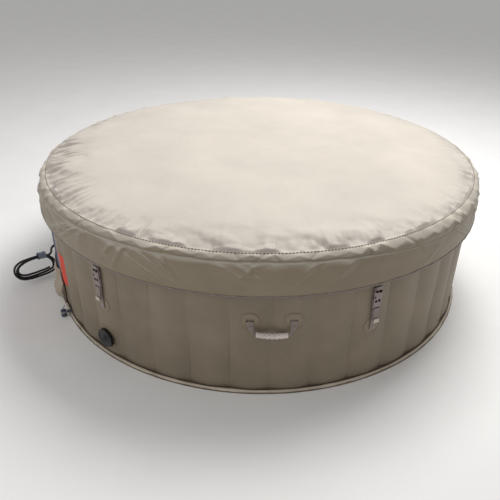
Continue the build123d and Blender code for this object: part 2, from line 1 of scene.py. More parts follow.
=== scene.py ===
"""Round inflatable tub with a cloth cover, tie-down straps, carry handles and an equipment unit.

The tub stands on z = 0, centred on the Z axis. Azimuth 0 faces -Y, the front, and grows
towards +X; the equipment bay is at azimuth -90, on the -X side. Sizes are in metres and
azimuths in degrees. Single parts are drawn at azimuth 0, outward being -Y, and then turned.
"""
import math

import bmesh
import bpy
import numpy as np
from mathutils import Matrix, Vector
from mathutils.bvhtree import BVHTree


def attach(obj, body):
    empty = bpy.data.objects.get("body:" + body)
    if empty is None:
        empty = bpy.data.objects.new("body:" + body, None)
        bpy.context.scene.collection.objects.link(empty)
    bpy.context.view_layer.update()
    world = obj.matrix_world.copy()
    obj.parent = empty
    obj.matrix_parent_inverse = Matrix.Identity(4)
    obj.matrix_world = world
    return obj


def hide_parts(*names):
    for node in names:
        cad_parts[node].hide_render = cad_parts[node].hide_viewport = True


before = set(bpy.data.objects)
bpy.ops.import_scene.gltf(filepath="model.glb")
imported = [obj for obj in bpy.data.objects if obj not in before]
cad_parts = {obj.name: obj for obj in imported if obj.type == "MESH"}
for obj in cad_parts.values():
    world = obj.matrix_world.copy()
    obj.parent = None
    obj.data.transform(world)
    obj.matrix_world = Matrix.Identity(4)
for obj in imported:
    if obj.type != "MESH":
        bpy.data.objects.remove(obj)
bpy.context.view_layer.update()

TAU = 2 * math.pi

# ---------------------------------------------------------------- driving sizes
CHAMBERS = 40                      # upright air chambers round the wall
CHAMBER_PITCH = 360.0 / CHAMBERS
CHAMBER_COLS = 20                  # mesh columns per chamber
R_SEAM = 1.030                     # outer wall at the welds between chambers
BULGE = 0.0125                     # how far a chamber swells beyond its welds
RIM_Z, RIM_R = 0.56, 0.087         # the rim's rounded edges: height of centre, radius
R_CREST = 1.043                    # outer wall at the chamber crests, for welded parts
BAY_AZ, BAY_HALF = -90.0, 18.0
BAY_Z0, BAY_Z1 = 0.040, 0.456
BUCKLES = (-40.5, 22.5, 85.5, 148.5, -148.5)
HANDLES = (0.0, 117.0, -117.0)
HANDLE_Z, HANDLE_LEG = 0.352, 4.5  # hinge height, and azimuth from the middle to a leg
DRAIN_AZ, DRAIN_Z = -40.5, 0.096
SEAM_R, HEM_R = 1.0320, 1.0550     # cover seam and hem


# ---------------------------------------------------------------- shape tools
def polar(azimuth, radius, z):
    angle = np.radians(azimuth)
    return np.stack(np.broadcast_arrays(radius * np.sin(angle), -radius * np.cos(angle), z), -1)


def spin(verts, azimuth):
    """Points drawn at azimuth 0, turned to an azimuth."""
    cos, sin = math.cos(math.radians(azimuth)), math.sin(math.radians(azimuth))
    x, y, z = np.asarray(verts, float).T
    return np.stack([x * cos - y * sin, x * sin + y * cos, z], -1)


def ease(x, start, end):
    """Smooth step from 0 at start to 1 at end."""
    part = np.clip((np.asarray(x, float) - start) / (end - start), 0, 1)
    return part * part * (3 - 2 * part)


def bell(x, width):
    return np.exp(-(x / width) ** 2)


def squarish(value, power):
    """A sine or cosine flattened so that the round it draws turns boxy."""
    return np.sign(value) * np.abs(value) ** power


def unit(vectors):
    return vectors / np.linalg.norm(vectors, axis=1)[:, None]


def outward(points):
    """Level unit vectors away from the Z axis."""
    return np.concatenate([unit(points[:, :2]), np.zeros((len(points), 1))], 1)


def arc_lengths(points):
    steps = np.linalg.norm(np.diff(np.asarray(points), axis=0), axis=1)
    return np.concatenate([[0], np.cumsum(steps)])


def quilt(points, pitch):
    """Chequer of highs and lows over x and y."""
    return np.cos(points[..., 0] * TAU / pitch) * np.cos(points[..., 1] * TAU / pitch)


def smooth_path(points, count, closed=False):
    """Catmull-Rom curve through the points."""
    points = np.asarray(points, float)
    total = len(points)
    spans = total if closed else total - 1

    def at(i):
        return points[i % total if closed else min(max(i, 0), total - 1)]

    curve = []
    for k in range(count):
        along = k * spans / count if closed else k * spans / (count - 1)
        i = min(int(along), spans - 1)
        u = along - i
        before, start, end, after = at(i - 1), at(i), at(i + 1), at(i + 2)
        curve.append(0.5 * (2 * start + (end - before) * u
                            + (2 * before - 5 * start + 4 * end - after) * u * u
                            + (3 * start - before - 3 * end + after) * u ** 3))
    return np.array(curve)


def waves(count, low, high, seed, slope=1.0):
    """Random sinusoids for smooth noise: rows of (x rate, y rate, phase, amplitude)."""
    rng = np.random.default_rng(seed)
    rate = np.exp(rng.uniform(math.log(low), math.log(high), count))
    heading = rng.uniform(0, TAU, count)
    amp = (low / rate) ** slope
    return np.stack([rate * np.cos(heading), rate * np.sin(heading), rng.uniform(0, TAU, count),
                     amp / np.sqrt((amp ** 2).sum() / 2)], -1)


def wave_sum(wave_set, x, y):
    total = np.zeros(np.broadcast(x, y).shape)
    for x_rate, y_rate, phase, amp in wave_set:
        total += amp * np.sin(x_rate * x + y_rate * y + phase)
    return total


def ring_noise(angle, highest, seed, lowest=1, slope=0.5):
    """Noise round a circle, about unit size, from harmonics lowest to highest."""
    rng = np.random.default_rng(seed)
    total, power = np.zeros_like(np.asarray(angle, float)), 0
    for k in range(lowest, highest + 1):
        amp = rng.normal() * (lowest / k) ** slope
        total = total + amp * np.cos(k * angle + rng.uniform(0, TAU))
        power += amp * amp / 2
    return total / math.sqrt(power + 1e-9)


# ---------------------------------------------------------------- mesh tools
def build(name, verts, faces, materials, smooth=True, uv=None, slots=None):
    """A mesh object from points and either an array of quads or a mixed list of faces."""
    mesh = bpy.data.meshes.new(name)
    verts = np.ascontiguousarray(verts, dtype=np.float64)
    if isinstance(faces, np.ndarray):
        mesh.vertices.add(len(verts))
        mesh.vertices.foreach_set("co", verts.ravel())
        mesh.loops.add(faces.size)
        mesh.loops.foreach_set("vertex_index", faces.astype(np.int32).ravel())
        mesh.polygons.add(len(faces))
        starts = np.arange(0, faces.size, faces.shape[1], dtype=np.int32)
        mesh.polygons.foreach_set("loop_start", starts)
        mesh.update(calc_edges=True)
    else:
        mesh.from_pydata(verts.tolist(), [], faces)
        mesh.update()
    if uv is not None:
        layer = mesh.uv_layers.new(name="UVMap")
        corner = np.empty(len(mesh.loops), dtype=np.int32)
        mesh.loops.foreach_get("vertex_index", corner)
        layer.data.foreach_set("uv", np.ascontiguousarray(uv[corner], dtype=np.float32).ravel())
    for material in materials if isinstance(materials, list) else [materials]:
        mesh.materials.append(material)
    if slots is not None:
        mesh.polygons.foreach_set("material_index", np.asarray(slots, dtype=np.int32))
    mesh.polygons.foreach_set("use_smooth", np.full(len(mesh.polygons), smooth))
    mesh.validate()
    piece = bpy.data.objects.new(name, mesh)
    bpy.context.scene.collection.objects.link(piece)
    return piece


def fit(piece, body, *replaced):
    """Hang a piece on a moving body, in place of the CAD nodes it stands for."""
    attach(piece, body)
    if replaced:
        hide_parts(*replaced)


def grid(rows, cols, wrap=True, flip=False, close=False):
    """Quads of a grid of points; columns may wrap round, and close joins the last row to the first."""
    row = np.arange(rows if close else rows - 1)[:, None]
    col = np.arange(cols if wrap else cols - 1)[None]
    row2, col2 = (row + 1) % rows, (col + 1) % cols
    quads = np.stack([row * cols + col, row * cols + col2, row2 * cols + col2,
                      row2 * cols + col], -1).reshape(-1, 4)
    return quads[:, ::-1] if flip else quads


def tube_faces(rows, cols, close=False):
    """Faces round a stack of rings, closed on itself or capped at both ends."""
    faces = grid(rows, cols, close=close).tolist()
    if not close:
        last = (rows - 1) * cols
        faces += [list(range(cols))[::-1], list(range(last, last + cols))]
    return faces


def box(x0, x1, y0, y1, z0, z1):
    verts = [(x, y, z) for z in (z0, z1) for y in (y0, y1) for x in (x0, x1)]
    return verts, [(0, 2, 3, 1), (4, 5, 7, 6), (0, 1, 5, 4), (2, 6, 7, 3), (0, 4, 6, 2), (1, 3, 7, 5)]


def tube(path, radius, sides, closed=False, radius_2=None):
    """Round or oval tube swept along points, with a steady frame."""
    path = np.asarray(path, float)
    count = len(path)
    along = np.roll(path, -1, 0) - np.roll(path, 1, 0) if closed else np.gradient(path, axis=0)
    along /= np.linalg.norm(along, axis=1)[:, None] + 1e-12
    ref = np.array([0, 0, 1.0])
    if abs(along[0] @ ref) > 0.9:
        ref = np.array([1.0, 0, 0])
    first = np.cross(along[0], ref)
    normals = [first / np.linalg.norm(first)]
    for step in along[1:]:
        side = normals[-1] - step * (normals[-1] @ step)
        normals.append(side / (np.linalg.norm(side) + 1e-12))
    normals = np.array(normals)
    crosses = np.cross(along, normals)
    wide = np.broadcast_to(np.asarray(radius, float), (count,))[:, None, None]
    deep = wide if radius_2 is None else radius_2
    round_ = np.linspace(0, TAU, sides, endpoint=False)
    verts = (path[:, None] + normals[:, None] * (np.cos(round_)[None, :, None] * wide)
             + crosses[:, None] * (np.sin(round_)[None, :, None] * deep))
    return verts.reshape(-1, 3), tube_faces(count, sides, closed)


def lathe(profile, sides, z=0.0, close=False):
    """Solid turned about an outward axis at azimuth 0: profile is (radius, distance out)."""
    radius, out = np.asarray(profile, float).T[:, :, None]
    round_ = np.linspace(0, TAU, sides, endpoint=False)[None]
    verts = np.stack(np.broadcast_arrays(radius * np.cos(round_), -out,
                                         z + radius * np.sin(round_)), -1)
    return verts.reshape(-1, 3), tube_faces(len(profile), sides, close)


def band(path, across, out, width, thick, cols=9, lift=0.0, edge=0.85, edge_power=10):
    """Flat webbing with rounded edges, its width, turn and fold given station by station.

    The uv is in metres, along and across.
    """
    path = np.asarray(path, float)
    count = len(path)
    across = np.broadcast_to(np.asarray(across, float), path.shape)[:, None]
    out = np.broadcast_to(np.asarray(out, float), path.shape)[:, None]
    width = np.broadcast_to(np.asarray(width, float), (count,))
    u = np.linspace(-1, 1, cols)
    lift = np.broadcast_to(lift, (count, cols))
    half = (np.sqrt(np.clip(1 - edge * np.abs(u) ** edge_power, 0, 1)) * thick / 2)[None, :, None]
    mid = (path[:, None] + across * (u[None, :, None] * width[:, None, None] / 2)
           + out * lift[:, :, None])
    ring = np.concatenate([mid + out * half, (mid - out * half)[:, ::-1]], 1)
    uv = np.empty((count, 2 * cols, 2))
    uv[..., 0] = arc_lengths(path)[:, None]
    uv[..., 1] = np.concatenate([u, u[::-1]])[None] * width.max() / 2
    return ring.reshape(-1, 3), tube_faces(count, 2 * cols), uv.reshape(-1, 2)


def slab(name, outer, inner, material, uv=None):
    """Sheet between two grids of points, walled along its four edges."""
    rows, cols, _ = outer.shape
    total = rows * cols
    front = grid(rows, cols, wrap=False).tolist()
    faces = front + [[i + total for i in quad[::-1]] for quad in front]
    edges, top, right = [], (rows - 1) * cols, cols - 1
    for j in range(cols - 1):
        edges += [(j + 1, j), (top + j, top + j + 1)]
    for i in range(rows - 1):
        edges += [(i * cols, (i + 1) * cols), ((i + 1) * cols + right, i * cols + right)]
    faces += [[a, b, total + b, total + a] for a, b in edges]
    verts = np.concatenate([outer.reshape(-1, 3), inner.reshape(-1, 3)])
    piece = build(name, verts, faces, material, uv=uv)
    work = bmesh.new()
    work.from_mesh(piece.data)
    bmesh.ops.recalc_face_normals(work, faces=work.faces)
    work.to_mesh(piece.data)
    work.free()
    return piece


class Bag:
    """Gathers shapes, each (verts, faces) or (verts, faces, uv), into one mesh."""

    def __init__(self):
        self.verts, self.faces, self.uvs, self.count = [], [], [], 0

    def add(self, shape, place=None, azimuth=0.0):
        """Add a shape, moved by place; without a uv of its own it takes its placed x and z."""
        verts, faces, *uv = shape
        verts = np.asarray(verts, float)
        if place:
            verts = place(verts, azimuth)
        self.faces += [[i + self.count for i in face] for face in faces]
        self.verts.append(verts)
        self.uvs.append(uv[0] if uv else verts[:, [0, 2]])
        self.count += len(verts)

    def spun(self, azimuth):
        """Turn everything gathered to an azimuth, leaving the uv as drawn."""
        self.verts = [spin(verts, azimuth) for verts in self.verts]
        return self

    def shape(self):
        return np.concatenate(self.verts), self.faces, np.concatenate(self.uvs)

    def make(self, name, material, body, *replaced, smooth=True):
        verts, faces, uv = self.shape()
        piece = build(name, verts, faces, material, smooth, uv, np.zeros(len(faces)))
        fit(piece, body, *replaced)


def stitch_run(points, pitch=0.0032, radius=0.00035):
    """Separate thread stitches along a polyline."""
    run = Bag()
    points = np.asarray(points, float)
    for start, end in zip(points[:-1], points[1:]):
        span = end - start
        count = max(1, int(np.linalg.norm(span) / pitch))
        for i in range(count):
            tail = start + span * (i + 0.2) / count
            head = start + span * (i + 0.2 + 0.6) / count
            run.add(tube([tail, (tail + head) / 2, head], np.array([0.6, 1, 0.6]) * radius, 5))
    return run.shape()


# ---------------------------------------------------------------- material tools
BLACK, WHITE = (0, 0, 0, 1), (1, 1, 1, 1)


def shade(colour, factor=1.0, add=0.0):
    """Linear colour of a 0-255 sRGB one made lighter or darker."""
    def linear(level):
        level = min(255, level * factor + add) / 255
        return level / 12.92 if level <= 0.04045 else ((level + 0.055) / 1.055) ** 2.4
    return (*map(linear, colour), 1.0)


class Shader:
    """Builds up one Principled material; its methods return output sockets."""

    def __init__(self, name, rough, specular, metal=0.0):
        self.material = bpy.data.materials.new(name)
        self.material.use_nodes = True
        self.tree = self.material.node_tree
        self.inputs = self.tree.nodes["Principled BSDF"].inputs
        self.inputs["Roughness"].default_value = rough
        self.inputs["Specular IOR Level"].default_value = specular
        self.inputs["Metallic"].default_value = metal
        self.normal = None

    def node(self, kind, **settings):
        node = self.tree.nodes.new(kind)
        for key, value in settings.items():
            setattr(node, key, value)
        return node

    def feed(self, socket, value):
        """Link an output to a socket, or set the socket's value."""
        if isinstance(value, bpy.types.NodeSocket):
            self.tree.links.new(value, socket)
        else:
            socket.default_value = value

    def coords(self, kind="Object"):
        return self.node("ShaderNodeTexCoord").outputs[kind]

    def noise(self, scale, detail=4, rough=0.55, stretch=None):
        place = self.coords()
        if stretch:
            mapping = self.node("ShaderNodeMapping")
            self.feed(mapping.inputs["Scale"], stretch)
            self.feed(mapping.inputs["Vector"], place)
            place = mapping.outputs["Vector"]
        noise = self.node("ShaderNodeTexNoise")
        self.feed(noise.inputs["Scale"], scale)
        self.feed(noise.inputs["Detail"], detail)
        self.feed(noise.inputs["Roughness"], rough)
        self.feed(noise.inputs["Vector"], place)
        return noise.outputs["Fac"]

    def ramp(self, value, low, high, start=BLACK, end=WHITE):
        """Colour start up to low, blending to colour end at high."""
        ramp = self.node("ShaderNodeValToRGB")
        for element, at, colour in zip(ramp.color_ramp.elements, (low, high), (start, end)):
            element.position, element.color = at, colour
        self.feed(ramp.inputs["Fac"], value)
        return ramp.outputs["Color"]

    def math(self, operation, *values):
        node = self.node("ShaderNodeMath", operation=operation)
        for i, value in enumerate(values):
            self.feed(node.inputs[i], value)
        return node.outputs[0]

    def mix(self, factor, first, second):
        node = self.node("ShaderNodeMix", data_type="RGBA")
        for i, value in ((0, factor), (6, first), (7, second)):
            self.feed(node.inputs[i], value)
        return node.outputs[2]

    def colour(self, value):
        self.feed(self.inputs["Base Color"], value)

    def roughness(self, value, low, high):
        node = self.node("ShaderNodeMapRange")
        self.feed(node.inputs["To Min"], low)
        self.feed(node.inputs["To Max"], high)
        self.feed(node.inputs["Value"], value)
        self.feed(self.inputs["Roughness"], node.outputs[0])

    def bump(self, height, strength, distance):
        """Add a layer of relief over the ones before."""
        node = self.node("ShaderNodeBump")
        self.feed(node.inputs["Strength"], strength)
        self.feed(node.inputs["Distance"], distance)
        self.feed(node.inputs["Height"], height)
        if self.normal is not None:
            self.feed(node.inputs["Normal"], self.normal)
        self.normal = node.outputs["Normal"]
        self.feed(self.inputs["Normal"], self.normal)

    def split(self, vector):
        node = self.node("ShaderNodeSeparateXYZ")
        self.feed(node.inputs[0], vector)
        return node.outputs

    def weave(self, pitch):
        """Plain weave height from two crossed sets of threads."""
        uv = self.split(self.coords("UV"))
        warp, weft = [self.math("SINE", self.math("MULTIPLY", uv[i], math.pi / pitch))
                      for i in (0, 1)]
        return self.math("MULTIPLY", warp, weft)


# ---------------------------------------------------------------- material kinds
def vinyl(name, colour, rough=0.52, mottle=0.06, grime_and_shade=True):
    """Matt laminated sheet: fine embossing, faint mottling and, if asked, a foot darkened in patches:
    partly grime, partly painted shade near the floor.
    """
    m = Shader(name, rough, specular=0.35)
    dark, light = shade(colour, 1 - mottle), shade(colour, 1 + mottle)
    drift = m.noise(5.0, detail=5, rough=0.6)
    tone = m.ramp(drift, 0.3, 0.7, dark, light)
    speck = m.noise(260.0, detail=2, rough=0.5)
    tone = m.mix(0.10, tone, m.ramp(speck, 0.35, 0.65, dark, light))
    if grime_and_shade:
        # darker patches towards the foot: partly grime, partly painted shade near the floor
        height = m.split(m.coords())[2]
        foot = m.ramp(height, 0.0, 0.055, WHITE, BLACK)
        patch = m.math("MULTIPLY", foot, m.noise(22.0, detail=6, rough=0.65))
        tone = m.mix(m.math("MULTIPLY", patch, 0.5), tone, shade(colour, 0.72))
    m.colour(tone)
    m.roughness(drift, low=rough - 0.06, high=rough + 0.1)
    m.bump(m.noise(9.0, detail=3, rough=0.5), strength=0.25, distance=0.004)
    m.bump(m.noise(900.0, detail=2, rough=0.6), strength=0.10, distance=0.0006)
    return m.material


def coated_cloth(name, colour, pitch=0.0011, crease=0.35, side=None):
    """Coated oxford cloth: plain weave, soft creases, faint colour drift.

    Faces turned away from up are darkened and steep ones take the side colour: painted shade standing
    in for the overhead light.
    """
    rough = 0.62
    m = Shader(name, rough, specular=0.3)
    m.feed(m.inputs["Sheen Weight"], 0.25)
    m.feed(m.inputs["Sheen Roughness"], 0.5)
    dark, light = shade(colour, 0.955), shade(colour, 1.03)
    drift = m.noise(2.6, detail=5, rough=0.6)
    tone = m.ramp(drift, 0.3, 0.7, dark, light)
    weave = m.weave(pitch)
    thread = m.math("ADD", m.math("MULTIPLY", weave, 0.5), 0.5)
    tone = m.mix(0.06, tone, m.ramp(thread, 0.2, 0.8, dark, light))
    # painted shade: tilted faces take a darker copy of the colour and steep faces the side colour, as
    # the overhead light would shade them
    if side:
        normal = m.node("ShaderNodeNewGeometry").outputs["Normal"]
        steep = m.ramp(m.split(normal)[2], 0.06, 0.62)
        tilted = m.ramp(m.split(normal)[2], 0.86, 0.992)
        # this darker copy on tilted faces is painted shade, not a colour of the folds
        fold = m.ramp(drift, 0.3, 0.7, shade(colour, 0.85), shade(colour, 0.90))
        tone = m.mix(tilted, fold, tone)
        side_drift = m.noise(3.4, detail=4, rough=0.6)
        shaded_side_tone = m.ramp(side_drift, 0.3, 0.7, shade(side, 0.95), shade(side, 1.04))
        tone = m.mix(steep, shaded_side_tone, tone)
    m.colour(tone)
    m.roughness(m.noise(7.0, detail=4, rough=0.6), low=rough - 0.08, high=rough + 0.08)
    # ridged noises: faint fold memory, long then short
    long_fold = m.noise(7.0, detail=5, rough=0.62, stretch=(1, 0.55, 1))
    long_fold = m.math("ABSOLUTE", m.math("SUBTRACT", long_fold, 0.5))
    short_fold = m.noise(19.0, detail=4, rough=0.6)
    short_fold = m.math("ABSOLUTE", m.math("SUBTRACT", short_fold, 0.5))
    m.bump(long_fold, strength=crease, distance=0.012)
    m.bump(short_fold, strength=crease * 0.6, distance=0.004)
    m.bump(weave, strength=0.18, distance=0.0003)
    return m.material


def webbing(name, colour):
    """Woven strap: slanted twill ribs crossed by the weft, with paler high yarns."""
    pitch = 0.0030
    m = Shader(name, rough=0.66, specular=0.3)
    m.feed(m.inputs["Sheen Weight"], 0.35)
    uv = m.split(m.coords("UV"))
    slant = m.math("ADD", uv[0], m.math("ABSOLUTE", uv[1]))
    twill = m.math("SINE", m.math("MULTIPLY", slant, TAU / pitch))
    weft = m.math("SINE", m.math("MULTIPLY", uv[1], TAU / (pitch * 0.55)))
    rib = m.math("ADD", m.math("MULTIPLY", m.math("ADD", twill, 1.0), 0.35),
                 m.math("MULTIPLY", m.math("ADD", weft, 1.0), 0.15))
    dark, light = shade(colour, 0.80), shade(colour, 1.12)
    tone = m.ramp(rib, 0.1, 0.8, dark, light)
    tone = m.mix(0.25, tone, m.ramp(m.noise(60.0), 0.3, 0.7, dark, light))
    m.colour(tone)
    m.bump(rib, strength=0.55, distance=0.0006)
    m.bump(m.noise(1400.0, detail=2), strength=0.2, distance=0.0003)
    return m.material


def moulded(name, colour, rough=0.42, specular=0.45, grain=1200.0, relief=0.16, wear=0.35):
    """Moulded plastic: fine grain, small colour drift, paler worn edges."""
    m = Shader(name, rough, specular)
    drift = m.noise(14.0, detail=4, rough=0.6)
    tone = m.ramp(drift, 0.3, 0.7, shade(colour, 0.95), shade(colour, 1.05, add=1))
    edges = m.ramp(m.node("ShaderNodeNewGeometry").outputs["Pointiness"], 0.49, 0.56)
    tone = m.mix(m.math("MULTIPLY", edges, wear), tone, shade(colour, 1.25, add=14))
    m.colour(tone)
    m.roughness(m.noise(40.0, detail=5, rough=0.65), low=max(0.05, rough - 0.1), high=rough + 0.1)
    m.bump(m.noise(grain, detail=2, rough=0.5), strength=relief, distance=0.0005)
    return m.material


def brushed_metal(name, colour, rough=0.3):
    m = Shader(name, rough, specular=0.5, metal=1.0)
    brush = m.noise(80.0, detail=4, rough=0.6, stretch=(1, 1, 22))
    m.colour(m.ramp(brush, 0.3, 0.7, shade(colour, 0.88), shade(colour)))
    m.roughness(brush, low=rough - 0.08, high=rough + 0.14)
    m.bump(brush, strength=0.12, distance=0.0004)
    return m.material


# painted shade: the cover cloth's own colour as it looks turned steeply away from the overhead light
SHADED_SIDE_CLOTH = (140, 128, 108)
MATS = {
    "wall": vinyl("wall_vinyl", (136, 124, 107)),
    "inner": vinyl("inner_vinyl", (186, 180, 168), rough=0.45, mottle=0.04, grime_and_shade=False),
    "floor": vinyl("floor_vinyl", (176, 169, 157), rough=0.5, mottle=0.05, grime_and_shade=False),
    "patch": vinyl("patch_vinyl", (141, 129, 110), rough=0.40, mottle=0.04, grime_and_shade=False),
    "piping": vinyl("base_bead_vinyl", (206, 194, 178), rough=0.5, mottle=0.10),
    "cover": coated_cloth("cover_cloth", (207, 199, 189), side=SHADED_SIDE_CLOTH),
    "skirt": coated_cloth("skirt_cloth", (209, 200, 186), crease=0.28, side=SHADED_SIDE_CLOTH),
    "under": coated_cloth("cover_lining", (188, 182, 172), crease=0.15),
    "binding": webbing("hem_binding", (122, 110, 102)),
    "web": webbing("strap_webbing", (140, 127, 122)),
    "buckle": moulded("buckle_acetal", (118, 106, 105), rough=0.34, wear=0.5),
    "grip": moulded("grip_sleeve", (208, 195, 190), rough=0.5, grain=500.0, relief=0.25),
    "stitch": webbing("seam_thread", (92, 76, 64)),
    "thread_pale": webbing("pale_thread", (205, 196, 184)),
    "black": moulded("black_rubber", (20, 21, 23), wear=0.25),
    "cable": moulded("cable_sheath", (19, 22, 25), rough=0.36, grain=900.0, wear=0.2),
    "blackgloss": moulded("black_moulding", (17, 18, 20), rough=0.3, specular=0.5, wear=0.3),
    "pale": moulded("pale_moulding", (196, 187, 172)),
    "unit": moulded("unit_casing", (104, 111, 130), rough=0.46, grain=700.0, relief=0.3, wear=0.4),
    "red": vinyl("blank_red_label", (226, 60, 36), rough=0.42, mottle=0.10, grime_and_shade=False),
    "flap": coated_cloth("flap_cloth", (178, 165, 148), crease=0.4),
    "tie": webbing("cable_tie_cloth", (128, 136, 156)),
    "lens": moulded("smoked_lens", (16, 18, 24), rough=0.12, specular=0.6, relief=0.02, wear=0.1),
    "steel": brushed_metal("stainless", (200, 202, 205)),
    "motor": moulded("motor_paint", (70, 74, 82), rough=0.4),
    "board": moulded("circuit_board", (24, 86, 46), rough=0.35),
    "paper": coated_cloth("filter_paper", (226, 228, 232), pitch=0.002),
    # near-black for the openings of slots and slits: painted shade
    "dark": moulded("painted_hole_shade", (9, 9, 10), rough=0.8, specular=0.1, wear=0.0),
    "tab": webbing("strap_end_tab", (206, 196, 182)),
    "liner": vinyl("bay_liner_vinyl", (150, 138, 120), rough=0.5),
    "toggle": moulded("toggle_plastic", (62, 70, 84), rough=0.45, wear=0.5),
    "led": moulded("readout_segment", (190, 60, 40), rough=0.3, relief=0.02, wear=0.0),
}

# ================================================================ tub wall and floor
OUTER_Z = np.concatenate([[0.0065, 0.010, 0.016, 0.025, 0.036, 0.040, 0.052],
                          np.linspace(0.072, 0.436, 19), [0.448, 0.456, 0.466],
                          np.linspace(0.490, 0.545, 4)])
INNER_Z = (0.52, 0.46, 0.40, 0.34, 0.28, 0.22, 0.16, 0.10, 0.06, 0.035, 0.022, 0.0145)
RIM_OUT, RIM_IN = R_SEAM - RIM_R, 0.890     # radii of the centres of the rim's rounded edges


def foot_tuck(z):
    """How far the outer wall draws in at a height; below zero it swells."""
    return (0.0015 * (1 - ease(z, 0.0, 0.03))
            - 0.0030 * ease(z, -0.01, 0.02) * (1 - ease(z, 0.03, 0.09)))


def wall_profile():
    """Section up the outside, over the rim and down: (radius, z, normal r, normal z, bulge)."""
    rows = [(R_SEAM - foot_tuck(z), z, 1, 0, BULGE * ease(z, -0.05, 0.050)) for z in OUTER_Z]
    for angle in np.radians(np.linspace(0, 90, 12)):
        cos, sin = math.cos(angle), math.sin(angle)
        rows.append((RIM_OUT + RIM_R * cos, RIM_Z + RIM_R * sin, cos, sin, BULGE - 0.0065 * sin))
    rows += [(radius, RIM_Z + RIM_R, 0, 1, 0.006) for radius in (0.930, 0.9185, 0.907)]
    for angle in np.radians(np.linspace(90, 180, 12)):
        cos, sin = math.cos(angle), math.sin(angle)
        rows.append((RIM_IN + RIM_R * cos, RIM_Z + RIM_R * sin, cos, sin, 0.006 - 0.002 * cos))
    rows += [(RIM_IN - RIM_R, z, -1, 0, 0.008 * ease(z, 0.0, 0.06)) for z in INNER_Z]
    return np.array(rows, float)


def tub_wall():
    cols = CHAMBERS * CHAMBER_COLS
    azimuth = np.arange(cols) * 360.0 / cols
    chamber, phase = np.divmod(np.arange(cols), CHAMBER_COLS)
    phase = phase / CHAMBER_COLS
    # 0 at the welds, 1 at the crests, each chamber a little different
    bulge = 1 - (2 * phase - 1) ** 2
    bulge *= 1 + np.random.default_rng(3).normal(0, 0.06, CHAMBERS)[chamber]
    profile = wall_profile()
    radius, height, normal_r, normal_z, depth = profile.T[:, :, None]
    angle = np.radians(azimuth)[None]
    # slack in the sheet: slow swell, and small pulls beside each weld and at the foot
    swell = wave_sum(waves(14, 3.0, 16.0, seed=21), angle, height) * 0.0007
    by_weld = bell(np.minimum(phase, 1 - phase), 0.10)
    pull = np.sin(height * 300 + chamber * 1.7 + phase * 9) * by_weld * 0.0006
    foot = (1 - ease(height, 0.01, 0.07)) * np.sin(angle * 230 + chamber) * 0.0007
    wall_r = radius + normal_r * depth * bulge + (swell + pull + foot) * (radius > 0.95)
    wall_z = height + normal_z * depth * bulge
    verts = polar(azimuth[None], wall_r, wall_z).reshape(-1, 3)
    # leave out the faces over the equipment bay
    faces = grid(len(profile), cols)
    row, col = np.divmod(np.arange(len(faces)), cols)
    off_bay = ((azimuth[col] + 180 / cols - BAY_AZ + 180) % 360) - 180
    hole = ((row + 1 < len(OUTER_Z)) & (np.abs(off_bay) < BAY_HALF)
            & (profile[row, 1] >= BAY_Z0 - 1e-6) & (profile[row + 1, 1] <= BAY_Z1 + 1e-6))
    lining = (row > len(profile) - 20).astype(int)
    used, kept = np.unique(faces[~hole], return_inverse=True)   # no loose points in the opening
    return build("tub_wall", verts[used], kept.reshape(-1, 4), [MATS["wall"], MATS["inner"]],
                 slots=lining[~hole])


wall = tub_wall()
fit(wall, "tub", "outer_wall", "inner_wall", "top_rim")


def weld_beads():
    """Upright beads in the grooves between the chambers."""
    bag = Bag()
    for i in range(CHAMBERS):
        azimuth = i * CHAMBER_PITCH
        over_bay = abs(((azimuth - BAY_AZ + 180) % 360) - 180) < BAY_HALF - 1
        spans = [(0.012, BAY_Z0), (0.458, 0.552)] if over_bay else [(0.012, 0.552)]
        for bottom, top in spans:
            z = np.linspace(bottom, top, max(3, int((top - bottom) / 0.03)))
            path = polar(0.0, R_SEAM - foot_tuck(z) + 0.0002, z)
            strip = band(path, (1, 0, 0), (0, -1, 0), width=0.0034, thick=0.0014, cols=4,
                         edge=0.8, edge_power=8)
            bag.add(strip[:2], spin, azimuth)
    bag.make("wall_weld_beads", MATS["wall"], "tub")


weld_beads()


def base_flange():
    """Flattened pale bead round the base, nipped in at the welds, and the sheet behind it."""
    cols = 960
    azimuth = np.linspace(0, 360, cols, endpoint=False)
    nip = bell(((azimuth / CHAMBER_PITCH + 0.5) % 1 - 0.5) * CHAMBER_PITCH, 0.5)
    wobble = ring_noise(np.radians(azimuth), 90, seed=5, lowest=12, slope=0.7)
    rings = []
    for angle in np.linspace(0, TAU, 14, endpoint=False):
        cos, sin = math.cos(angle), math.sin(angle)
        radius = 1.0480 + 0.0052 * squarish(cos, 0.7) + (0.0010 * wobble - 0.0026 * nip) * max(cos, 0)
        z = 0.0072 + 0.0060 * sin + (0.0007 * wobble - 0.0012 * nip) * max(sin, 0)
        rings.append(polar(azimuth, radius, z))
    fit(build("base_flange", np.concatenate(rings), tube_faces(14, cols, close=True),
              MATS["piping"]), "tub", "base_piping")

    section = [(1.021, 0.0035), (1.028, 0.0034), (1.036, 0.0040), (1.0445, 0.0056)]  # radius, z
    rings = [polar(azimuth, radius, z + 0.0004 * wobble) for radius, z in section]
    rings += [polar(azimuth, radius, z - 0.0016) for radius, z in section[::-1]]
    fit(build("base_foot_sheet", np.concatenate(rings), tube_faces(8, cols, close=True),
              MATS["wall"]), "tub")


base_flange()


